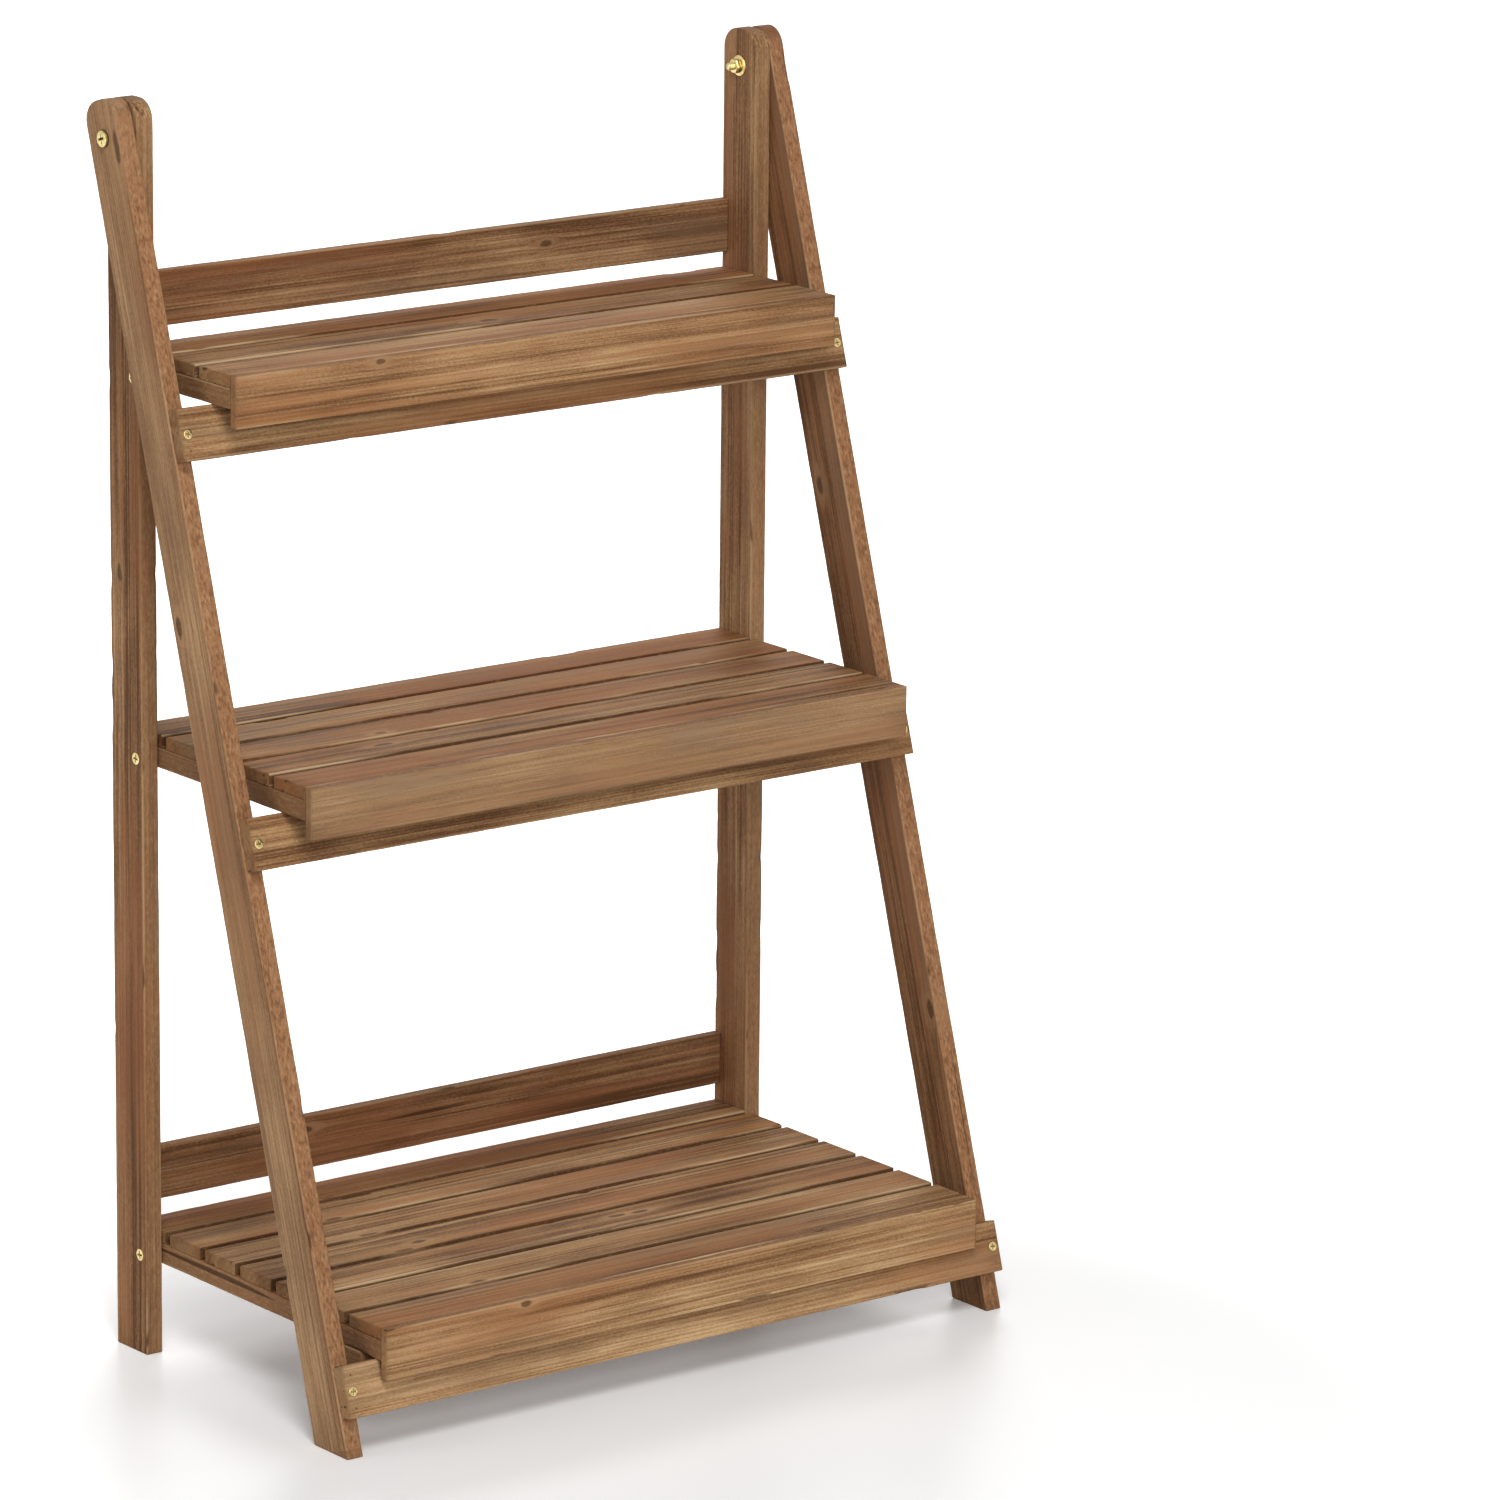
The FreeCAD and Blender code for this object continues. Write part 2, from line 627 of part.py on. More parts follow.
# Shelves: slats across cleats, with a lip along the front
cleat_middles = {
    "left": -(shelf_end - size.cleat_width / 2),
    "centre": Term("0"),
    "right": shelf_end - size.cleat_width / 2,
}
cleats = {}
for shelf, frame in SHELF_FRAMES.items():
    shelf_depth = shelf_depths[shelf]
    brad_spots = {side: [] for side in cleat_middles}
    for number in range(1, SIZES[f"{shelf}_slat_count"] + 1):
        brad_depth = slat_front(number) - size.slat_width / 2
        if number == 1:
            # The rear slat's brads pass just behind the pivot bolts
            brad_depth = shelf_pivot_depth - size.pivot_brad_gap - size.slat_brad_along
        slat = board(
            f"{shelf}_slat_{number}",
            frame,
            (-shelf_end, -slat_front(number), -size.slat_thickness),
            (2 * shelf_end, size.slat_width, size.slat_thickness),
        )
        holes = []
        for side, cleat_middle in cleat_middles.items():
            for way in (-1, 1):
                spot = (cleat_middle + way * size.slat_brad_across, way * size.slat_brad_along - brad_depth)
                brad_spots[side].append(spot)
                holes.append((*spot, size.brad_diameter, size.drive_gap))
        drill(slat, "brad_holes", "XY_Plane", -size.slat_thickness, holes, size.slat_brad_bite, True)
    for side, cleat_middle in cleat_middles.items():
        cleat = board(
            f"{shelf}_cleat_{side}",
            frame,
            (cleat_middle - size.cleat_width / 2, -shelf_depth, -cleat_drop),
            (size.cleat_width, shelf_depth - size.slat_rear_inset, size.cleat_height),
        )
        cleats[shelf, side] = cleat
        holes = [(*spot, size.brad_diameter, size.drive_gap) for spot in brad_spots[side]]
        drill(cleat, "brad_holes", "XY_Plane", -cleat_drop, holes)
        if side in SIDES:
            pivot = (-shelf_pivot_depth, -pivot_below_top, size.shelf_bolt_diameter, size.running_gap)
            drill(cleat, "pivot_hole", "YZ_Plane", cleat_middle, [pivot])
    board(
        f"{shelf}_lip",
        frame,
        (-shelf_end, -(shelf_depth + size.lip_thickness), -size.lip_height),
        (2 * shelf_end, size.lip_thickness, size.lip_height),
    )
    upright_spots = [(AXIS_Z, 0, (*spot, -cleat_drop)) for spots in brad_spots.values() for spot in spots]
    slat_brad_length = size.cleat_height + size.slat_brad_bite
    group(f"{shelf}_shelf_brads", frame, brads(f"{shelf}_brad", slat_brad_length, upright_spots))

# Stop blocks under the bottom shelf's side cleats
block_base = -(cleat_drop + size.block_height)
block_brad_spots = []
for side, sign in SIDES.items():
    low_x = shelf_end - size.block_length if sign > 0 else -shelf_end
    block = board(
        f"stop_block_{side}",
        SHELF_FRAMES["bottom"],
        (low_x, -block_front, block_base),
        (size.block_length, size.block_depth, size.block_height),
    )
    spots = [
        (low_x + across, -block_front + along)
        for across in (size.block_brad_edge, size.block_length - size.block_brad_edge)
        for along in (size.block_brad_edge, size.block_depth - size.block_brad_edge)
    ]
    holes = [(*spot, size.brad_diameter, size.drive_gap) for spot in spots]
    drill(block, "brad_holes", "XY_Plane", block_base, holes)
    drill(cleats["bottom", side], "block_holes", "XY_Plane", -cleat_drop, holes, size.block_brad_bite, True)
    block_brad_spots += [(AXIS_Z, 0, (*spot, block_base)) for spot in spots]
block_brad_length = size.block_height + size.block_brad_bite
block_brads = brads("stop_block_brad", block_brad_length, block_brad_spots)
group("stop_block_brads", SHELF_FRAMES["bottom"], block_brads)

doc.recompute()

# Every object has to be sound before anything is written
for item in doc.Objects:
    if "Invalid" in item.State or "Error" in item.State:
        raise RuntimeError(f"{item.Label} failed: {item.State}")
for piece in pieces:
    if piece.Shape.isNull() or not piece.Shape.isValid():
        raise RuntimeError(f"{piece.Label} has no sound shape")

os.makedirs("parts", exist_ok=True)
for piece in pieces:
    piece.Shape.exportStep(f"parts/{piece.Label}.step")
print(f"lean {layout.lean_angle:.3f} degrees, rear edge {layout.rear_edge:.2f} mm, {len(pieces)} nodes")
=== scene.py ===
"""Looks of a folding plant stand: stained boards, slatted shelves and yellow-plated hardware."""

import json
import logging
import math
from dataclasses import dataclass, field
from enum import Enum
from typing import Callable, Sequence, Union

import bmesh
import bpy
import numpy as np
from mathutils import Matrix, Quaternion, Vector


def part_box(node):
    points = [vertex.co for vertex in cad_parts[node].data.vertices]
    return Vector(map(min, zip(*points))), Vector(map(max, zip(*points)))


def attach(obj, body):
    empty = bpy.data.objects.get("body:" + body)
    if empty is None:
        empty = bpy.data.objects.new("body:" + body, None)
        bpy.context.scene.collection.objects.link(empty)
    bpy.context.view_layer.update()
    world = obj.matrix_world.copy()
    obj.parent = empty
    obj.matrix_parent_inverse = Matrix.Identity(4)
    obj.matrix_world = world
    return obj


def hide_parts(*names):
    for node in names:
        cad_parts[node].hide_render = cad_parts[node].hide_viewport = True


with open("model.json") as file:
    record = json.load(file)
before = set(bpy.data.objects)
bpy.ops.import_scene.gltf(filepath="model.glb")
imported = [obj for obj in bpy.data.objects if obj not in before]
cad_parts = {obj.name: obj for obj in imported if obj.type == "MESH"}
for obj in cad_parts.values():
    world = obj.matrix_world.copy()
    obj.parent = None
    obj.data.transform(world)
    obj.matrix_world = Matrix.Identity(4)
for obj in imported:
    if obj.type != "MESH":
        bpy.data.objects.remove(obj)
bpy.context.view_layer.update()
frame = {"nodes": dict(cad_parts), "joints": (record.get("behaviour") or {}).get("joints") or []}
MM = 0.001
AXIS_X = Vector((1, 0, 0))
AXIS_Y = Vector((0, 1, 0))
AXIS_Z = Vector((0, 0, 1))
WHITE = (1.0, 1.0, 1.0)
BLACK = (0.0, 0.0, 0.0)
# Names of what the meshes carry for their materials
GRAIN_NAME = "grain"
HALVES_NAME = "halves"
CHARACTER_NAME = "character"
KNOT_NAMES = ("knot_first", "knot_second")
STRETCH_NAME = "knot_stretch"
PAINTED_SHADE_NAME = "recess"
AIM_NAME = "aim"
# How far apart in the noise the boards lie, and how rough every noise is
SEED_SPREAD = 10.0
NOISE_ROUGHNESS = 0.55
# Distances from a board's edges or ends at which each of these begins and at which it is full
NARROW_FACE = (0.55 * MM, 0.15 * MM)
END_FACE = (1.3 * MM, 0.4 * MM)
END_SOAK = (24 * MM, 1 * MM)
RUBBED_ARRIS = (2.0 * MM, 0.5 * MM)
WORN_EDGE = (3.5 * MM, 0.4 * MM)
# How near two points of a solid are one point, and how deep its outer end is taken
SAME_POINT = 0.001 * MM
END_DEPTH = 0.02 * MM
log = logging.getLogger("plant_stand")

Colour = tuple[float, float, float]
Spots = Sequence[tuple[Vector, Vector]]
Ring = tuple[Union[float, np.ndarray], Union[float, np.ndarray]]
Feed = Union["Value", float, Sequence[float], bpy.types.ID, bool, str]


class Slot(Enum):
    """The record's material slots."""

    FRAME = "frame_wood"
    SLAT = "slat_wood"
    LIP = "lip_wood"
    PLATED = "yellow_zinc"


class Wood(Enum):
    """The kinds of board, which differ in colour and figure."""

    REAR = "rear_wood"
    FRONT = "front_wood"
    SLAT = "slat_wood"
    LIP = "lip_wood"


class Side(Enum):
    """The two sides of the stand, with the way that each lies along X."""

    LEFT = -1
    RIGHT = 1

    @property
    def word(self) -> str:
        """The side's name in the node names."""
        return self.name.lower()


def sign(operation: str, swapped: bool = False) -> Callable[["Value", Feed], "Value"]:
    """Makes the method behind one sign of arithmetic.

    Args:
        operation: the Math node's operation.
        swapped: whether the value is the second term.

    Returns:
        A method that adds that Math node.
    """

    def method(self: "Value", other: Feed) -> "Value":
        """Adds the Math node."""
        terms = (other, self) if swapped else (self, other)
        return self.nodes.add("ShaderNodeMath", {"operation": operation}, dict(enumerate(terms)))

    return method


class Value:
    """A socket's output. Sums on it add Math nodes to the same tree."""

    __add__ = sign("ADD")
    __radd__ = sign("ADD", True)
    __sub__ = sign("SUBTRACT")
    __rsub__ = sign("SUBTRACT", True)
    __mul__ = sign("MULTIPLY")
    __truediv__ = sign("DIVIDE")
    __pow__ = sign("POWER")

    def __init__(self, nodes: "Nodes", socket: bpy.types.NodeSocket) -> None:
        """Wraps one output socket."""
        self.nodes = nodes
        self.socket = socket

    def __abs__(self) -> "Value":
        """The value without its sign."""
        return self.math("ABSOLUTE")

    def out(self, name: str) -> "Value":
        """Another output of the same node."""
        return Value(self.nodes, self.socket.node.outputs[name])

    def math(self, operation: str, *others: Feed) -> "Value":
        """One Math node on this value and the others."""
        return self.nodes.add("ShaderNodeMath", {"operation": operation}, dict(enumerate((self, *others))))

    def ramp(self, low: Feed, high: Feed) -> "Value":
        """Rises smoothly from 0 at low to 1 at high, or falls where low is the larger.

        Args:
            low: where the result is 0.
            high: where the result is 1.

        Returns:
            The eased share, from 0 to 1.
        """
        sockets = {"Value": self, "From Min": low, "From Max": high}
        return self.nodes.add("ShaderNodeMapRange", {"interpolation_type": "SMOOTHSTEP"}, sockets)


class Nodes:
    """Adds nodes to one tree, of a material or of geometry."""

    def __init__(self, tree: bpy.types.NodeTree) -> None:
        """Starts from the tree that takes the nodes."""
        self.tree = tree

    def feed(self, node: bpy.types.Node, sockets: dict[str | int, Feed]) -> None:
        """Links values to a node's inputs, or sets the inputs to plain ones.

        Args:
            node: the node.
            sockets: the values, by the input's name or number.
        """
        for key, value in sockets.items():
            socket = node.inputs[key]
            if isinstance(value, Value):
                self.tree.links.new(value.socket, socket)
            elif socket.type == "RGBA" and len(value) == 3:
                socket.default_value = (*value, 1.0)
            else:
                socket.default_value = value

    def add(
        self,
        kind: str,
        settings: dict[str, object] | None = None,
        sockets: dict[str | int, Feed] | None = None,
        output: int = 0,
    ) -> Value | None:
        """Adds one node.

        Args:
            kind: the node's type.
            settings: its properties, set first; stops are those of a colour ramp.
            sockets: values or links of its inputs, by name or number.
            output: the number of the output to return.

        Returns:
            That output, wrapped, or nothing where the node has none.
        """
        node = self.tree.nodes.new(kind)
        for name, setting in (settings or {}).items():
            if name == "stops":
                self.set_stops(node.color_ramp, setting)
            else:
                setattr(node, name, setting)
        self.feed(node, sockets or {})
        return Value(self, node.outputs[output]) if node.outputs else None

    @staticmethod
    def set_stops(ramp: bpy.types.ColorRamp, stops: Sequence[tuple[float, Colour]]) -> None:
        """Gives a colour ramp its stops, in rising order."""
        while len(ramp.elements) < len(stops):
            ramp.elements.new(1.0)
        for element, (place, colour) in zip(ramp.elements, stops):
            element.position = place
            element.color = (*colour, 1.0)

    def mix(self, share: Feed, first: Feed, second: Feed) -> Value:
        """Mixes two colours, by the share of the second one."""
        return self.add("ShaderNodeMix", {"data_type": "RGBA"}, {0: share, 6: first, 7: second}, 2)

    def vector(self, x: Feed, y: Feed, z: Feed) -> Value:
        """A vector from three values."""
        return self.add("ShaderNodeCombineXYZ", None, {0: x, 1: y, 2: z})

    def vector_math(self, operation: str, sockets: dict[str | int, Feed], output: int = 0) -> Value:
        """One Vector Math node."""
        return self.add("ShaderNodeVectorMath", {"operation": operation}, sockets, output)

    def parts(self, vector: Value) -> tuple[Value, Value, Value]:
        """A vector's three values."""
        x = self.add("ShaderNodeSeparateXYZ", None, {0: vector})
        return x, x.out("Y"), x.out("Z")

    def noise(self, vector: Value, detail: float) -> Value:
        """Soft noise about 0.5 at a place that is already scaled."""
        sockets = {"Vector": vector, "Scale": 1.0, "Detail": detail, "Roughness": NOISE_ROUGHNESS}
        return self.add("ShaderNodeTexNoise", None, sockets)


def new_material(name: str) -> tuple[bpy.types.Material, Nodes, bpy.types.Node]:
    """A new material, with the maker of its nodes and its shader."""
    material = bpy.data.materials.new(name)
    material.use_nodes = True
    return material, Nodes(material.node_tree), material.node_tree.nodes["Principled BSDF"]


@dataclass(frozen=True)
class Layer:
    """One noise in the wood: waves per metre along and across the grain, its finer layers and its place.

    The shift is where in the noise the layer lies, so that no two layers or boards are alike.
    """

    along: float
    across: float
    detail: float
    shift: float


LINE = Layer(2.5, 700, 1, 3.1)
FIBRE = Layer(9, 330, 3, 17.3)
STREAK = Layer(1.2, 130, 2, 5.7)
BAND = Layer(0.6, 26, 2, 9.3)
CLOUD = Layer(7.0, 30, 3, 15.1)
PATCH = Layer(3.2, 14, 2, 13.9)
SPECKLE = Layer(380, 800, 1, 19.9)
PORE = Layer(40, 1250, 1, 21.7)
FLECK = Layer(230, 620, 2, 23.9)
SPLIT = Layer(3.0, 165, 1, 27.1)
SPLIT_PLACE = Layer(2.1, 7, 0, 33.3)
RUBBED = Layer(4, 22, 3, 41.3)
KNOT_RIM = Layer(95, 260, 3, 51.1)
RING_SWAY = Layer(2.2, 9, 2, 61.7)
RING_DRIFT = Layer(1.1, 6, 1, 71.9)
FIBRE_SWAY = Layer(3, 9, 1, 81.3)
CHIP = Layer(24, 90, 1, 8.9)
EDGE_WEAR = Layer(38, 150, 2, 3.3)


class BoardGrain:
    """What a wood material reads from a board: the place in its grain, its edges and its character."""

    def __init__(self, nodes: Nodes) -> None:
        """Adds the nodes that read the board's attributes."""
        self.nodes = nodes
        self.along, self.across, self.through = nodes.parts(self.attribute(GRAIN_NAME))
        half_along, half_across, half_through = nodes.parts(self.attribute(HALVES_NAME))
        self.seed, self.light, self.redness = nodes.parts(self.attribute(CHARACTER_NAME))
        *self.stretches, self.greyness = nodes.parts(self.attribute(STRETCH_NAME))
        self.end_gap = half_along - abs(self.along)
        side_gap = half_across - abs(self.across)
        face_gap = half_through - abs(self.through)
        nearer = side_gap.math("MINIMUM", face_gap)
        self.arris = side_gap.math("MAXIMUM", face_gap)
        edge = nearer.math("MAXIMUM", self.arris.math("MINIMUM", self.end_gap))
        self.near_edge = edge.ramp(*WORN_EDGE)
        self.narrow = side_gap.ramp(*NARROW_FACE)
        self.flow = self.across

    def attribute(self, name: str) -> Value:
        """A vector that the mesh carries."""
        return self.nodes.add("ShaderNodeAttribute", {"attribute_name": name}, None, 1)

    def field(self, layer: Layer, fineness: float = 1.0) -> Value:
        """Noise that is stretched along the grain.

        Args:
            layer: the noise.
            fineness: how many times finer it is across the grain.

        Returns:
            The noise, about 0.5.
        """
        across = layer.across * fineness
        start = self.seed * (layer.shift * SEED_SPREAD)
        aside = self.flow * across + layer.shift
        place = self.nodes.vector(self.along * layer.along + start, aside, self.through * across)
        return self.nodes.noise(place, layer.detail)

    def swing(self, layer: Layer, fineness: float = 1.0) -> Value:
        """The same noise, about 0."""
        return self.field(layer, fineness) - 0.5

    def chips(self) -> Value:
        """Where small splinters have broken from the edges, from 0 to 1."""
        return self.near_edge * self.field(CHIP).ramp(0.66, 0.73)


class BoardGrainField(BoardGrain):
    """The same reading of a board's attributes, in a geometry tree."""

    def attribute(self, name: str) -> Value:
        """A vector that the mesh carries."""
        settings = {"data_type": "FLOAT_VECTOR"}
        return self.nodes.add("GeometryNodeInputNamedAttribute", settings, {"Name": name})


@dataclass(frozen=True)
class StainedWood:
    """Stained softwood. Its grain follows the directions that each board carries with it.

    The edge colour is that of the narrow faces, and fleck is how strongly those are flecked. On the slats
    the edge colour is near black, as painted shade in the gaps between them.
    """

    name: str
    dark: Colour
    brown: Colour
    tan: Colour
    pale: Colour
    red: Colour
    grey: Colour
    edge: Colour
    edge_share: float = 0.6
    fleck: float = 0.3
    contrast: float = 1.0
    fineness: float = 1.0
    banding: float = 0.8
    worn_share: float = 0.5
    roughness: float = 0.66
    specular: float = 0.07
    fibre_sway: float = 2.0 * MM
    ring_sway: float = 16 * MM
    ring_pitch: float = 4.6 * MM
    pith_spread: float = 90 * MM
    pith_depths: tuple[float, float] = (14 * MM, 50 * MM)

    def material(self) -> bpy.types.Material:
        """Builds the material.

        Returns:
            A material that reads the boards' grain, halves, character and knot attributes.
        """
        material, nodes, shader = new_material(self.name)
        grain = BoardGrain(nodes)
        core, halo, push, bend = self.knots(grain)
        ring = self.rings(grain, push)
        chip = grain.chips()
        # From here on the fibres sway and bend around the knots
        grain.flow = grain.across + grain.swing(FIBRE_SWAY) * self.fibre_sway - bend
        line = grain.swing(LINE, self.fineness)
        fibre = grain.swing(FIBRE, self.fineness)
        streak = grain.swing(STREAK)
        band = grain.swing(BAND)
        cloud = grain.swing(CLOUD)
        speckle = grain.swing(SPECKLE)
        pore = grain.field(PORE).ramp(0.6, 0.74)
        fleck = grain.field(FLECK)
        split = grain.field(SPLIT).ramp(0.7, 0.735) * grain.field(SPLIT_PLACE).ramp(0.5, 0.6)
        core = core * (1.0 - grain.narrow * 0.9)
        # Sawn ends drink more stain, and long edges are rubbed pale
        end_face = grain.end_gap.ramp(*END_FACE)
        long_face = 1.0 - end_face
        end_soak = grain.end_gap.ramp(*END_SOAK) * (0.6 + streak)
        worn = grain.arris.ramp(*RUBBED_ARRIS) * grain.field(RUBBED).ramp(0.47, 0.62) * long_face

        # The tone comes from the fine and the broad figure
        fine = line * 0.9 + fibre * 0.85 + speckle * 0.5
        broad = streak * 0.65 + band * self.banding + cloud * 1.05 - ring * 0.12
        figure = fine * (1.0 - end_face * 0.7) + broad
        tone = 0.47 + figure * self.contrast + grain.light * 0.3
        stops = [(0.08, self.dark), (0.38, self.brown), (0.62, self.tan), (0.94, self.pale)]
        colour = nodes.add("ShaderNodeValToRGB", {"stops": stops}, {0: tone})
        # Other colours lie over it, in this order
        reddened = grain.field(PATCH) + grain.redness * 0.16 + streak * 0.5 + fibre * 0.25
        greyed = (band - cloud * 0.7).ramp(0.04, 0.18)
        # Knot cores are darker wood; the dark in the splits and chips is painted shade in the cracks and
        # dents
        knots_and_crack_shade = (core * 0.8 + split * 0.8 + chip * 0.8).math("MINIMUM", 0.92)
        around_knots = tuple((red + pale) / 2 for red, pale in zip(self.red, self.pale))
        knot_and_crack_dark = tuple(channel * 0.4 for channel in self.dark)
        layers = (
            (reddened.ramp(0.47, 0.68) * 0.6, self.red),
            (greyed * 0.35 + grain.greyness, self.grey),
            # Narrow faces take the edge colour; on the slats this is painted shade in the gaps between them
            (grain.narrow * self.edge_share, self.edge),
            (grain.narrow * fleck.ramp(0.56, 0.68) * (self.fleck * 0.7), self.pale),
            (grain.narrow * fleck.ramp(0.49, 0.36) * (self.fleck * 0.8), self.dark),
            (pore * long_face * 0.35, self.dark),
            (worn * self.worn_share, self.pale),
            (end_soak * 0.2 + end_face * 0.25, self.dark),
            (halo * 0.45, around_knots),
            (knots_and_crack_shade, knot_and_crack_dark),
        )
        for share, over in layers:
            colour = nodes.mix(share, colour, over)

        raised = line * 0.7 + fibre * 0.8 + speckle * 0.8 + core * 0.6
        height = raised - ring * 0.3 - pore * 0.5 - split * 2.0
        bump = nodes.add("ShaderNodeBump", None, {"Strength": 0.4, "Distance": 0.4 * MM, "Height": height})
        rough = self.roughness + fibre * 0.4 + end_soak * 0.1 - worn * 0.08
        nodes.feed(shader, {"Base Color": colour, "Roughness": rough, "Normal": bump})
        nodes.feed(shader, {"Specular IOR Level": self.specular})
        return material

    def knots(self, grain: BoardGrain) -> tuple[Value, Value, Value, Value]:
        """The two knots that a board may have.

        Args:
            grain: the board's grain.

        Returns:
            The knots' dark cores, their red surrounds, how far they push the rings, and how far the fibres
            are bent away from them.
        """
        ragged = grain.swing(KNOT_RIM) * 1.5
        core = halo = push = bend = 0.0
        for name, stretch in zip(KNOT_NAMES, grain.stretches):
            place, aside, radius = grain.nodes.parts(grain.attribute(name))
            off = grain.across - aside
            reach = ((grain.along - place) / stretch) ** 2.0 + off * off
            round_near = reach.math("SQRT") / (radius + 0.001 * MM)
            near = round_near + ragged
            faint_rings = 0.75 + (round_near * 2.6).math("FRACT") * 0.25
            core = near.ramp(1.15, 0.6) * faint_rings + core
            halo = near.ramp(3.4, 0.6).math("MAXIMUM", halo)
            pushed = radius * 1.5 * (round_near * round_near * -0.22).math("EXPONENT")
            push = pushed + push
            bend = pushed * off / (abs(off) + radius * 0.4 + 0.01 * MM) + bend
        return core, halo, push, bend

    def rings(self, grain: BoardGrain, push: Value) -> Value:
        """The late wood of the growth rings, about a pith that each board has in its own place.

        Args:
            grain: the board's grain.
            push: how far the knots push the grain aside.

        Returns:
            The darkness of the ring, from 0 to 1.
        """
        least, spread = self.pith_depths
        pith_aside = ((grain.seed * 7.13).math("FRACT") - 0.5) * self.pith_spread
        pith_depth = least + (grain.seed * 3.37).math("FRACT") * spread
        aside = (grain.across + grain.swing(RING_SWAY) * self.ring_sway - pith_aside) ** 2.0
        depth = (grain.through + pith_depth) ** 2.0
        turn = ((aside + depth).math("SQRT") + push) / self.ring_pitch
        return (turn + grain.swing(RING_DRIFT) * 2.5).math("FRACT") ** 2.6


@dataclass(frozen=True)
class PlatedSteel:
    """Steel with a thin yellow plating, slightly clouded and finely scratched, with painted shade in its
    recesses.

    Scratches and clouds are in waves per metre.
    """

    name: str
    bright: Colour
    cloudy: Colour
    # The colour of the painted shade in the recesses and round the heads
    recess: Colour
    metallic: float = 1.0
    roughness: float = 0.24
    scratches: tuple[float, float, float] = (900, 3800, 900)
    clouds: float = 330
    detail: float = 3

    def material(self) -> bpy.types.Material:
        """Builds the material from Object coordinates."""
        material, nodes, shader = new_material(self.name)
        place = nodes.add("ShaderNodeTexCoord").out("Object")
        scratch = nodes.noise(nodes.vector_math("MULTIPLY", {0: place, 1: self.scratches}), self.detail)
        cloud = nodes.noise(nodes.vector_math("SCALE", {0: place, "Scale": self.clouds}), self.detail)
        sunk = nodes.add("ShaderNodeAttribute", {"attribute_name": PAINTED_SHADE_NAME}, None, 2)
        colour = nodes.mix(cloud.ramp(0.4, 0.65) * 0.75, self.bright, self.cloudy)
        # Painted shade: the cross recesses and the rims round the heads take the dark recess colour
        colour = nodes.mix(sunk, colour, self.recess)
        rough = self.roughness + cloud * 0.16 + (scratch - 0.5) * 0.12 + sunk * 0.3
        sockets = {"Strength": 0.12, "Distance": 0.05 * MM, "Height": scratch}
        bump = nodes.add("ShaderNodeBump", None, sockets)
        nodes.feed(shader, {"Base Color": colour, "Roughness": rough, "Normal": bump})
        nodes.feed(shader, {"Metallic": self.metallic})
        return material


@dataclass(frozen=True)
class Knot:
    """A knot through a board: its place along and across the grain and its radius, in metres.

    The stretch is how many times longer than wide it is.
    """

    along: float = 0.0
    across: float = 0.0
    radius: float = 0.0
    stretch: float = 2.2

    def numbers(self) -> tuple[float, float, float]:
        """The knot as a vector."""
        return self.along, self.across, self.radius


@dataclass(frozen=True)
class Character:
    """What sets one board apart: its part of the grain, its lightness, redness, knots and greyness."""

    seed: float
    light: float = 0.0
    redness: float = 0.0
    knots: tuple[Knot, ...] = ()
    greyness: float = 0.0

    def attributes(self) -> dict[str, tuple[float, float, float]]:
        """The vectors that the board's material reads."""
        knots = (*self.knots, Knot(), Knot())
        found = {CHARACTER_NAME: (self.seed, self.light, self.redness)}
        found.update({name: knot.numbers() for name, knot in zip(KNOT_NAMES, knots)})
        found[STRETCH_NAME] = (knots[0].stretch, knots[1].stretch, self.greyness)
        return found


def new_mesh(
    name: str,
    points: np.ndarray,
    faces: Sequence[Sequence[int]] = (),
    attributes: dict[str, np.ndarray] | None = None,
) -> bpy.types.Mesh:
    """Makes a smooth mesh whose points carry vectors.

    Args:
        name: the mesh's name.
        points: places in metres, one row each.
        faces: the points of each face.
        attributes: vectors for every point, by name.

    Returns:
        The mesh, with its faces turned outwards.
    """
    mesh = bpy.data.meshes.new(name)
    places = [tuple(point) for point in points]
    mesh.from_pydata(places, [], [tuple(face) for face in faces], shade_flat=False)
    for key, rows in (attributes or {}).items():
        layer = mesh.attributes.new(key, "FLOAT_VECTOR", "POINT")
        layer.data.foreach_set("vector", np.asarray(rows, np.float32).ravel())
    if len(faces):
        shape = bmesh.new()
        shape.from_mesh(mesh)
        bmesh.ops.recalc_face_normals(shape, faces=shape.faces)
        shape.to_mesh(mesh)
        shape.free()
    return mesh


def new_object(name: str, mesh: bpy.types.Mesh) -> bpy.types.Object:
    """Puts a mesh into the scene."""
    piece = bpy.data.objects.new(name, mesh)
    bpy.context.scene.collection.objects.link(piece)
    return piece


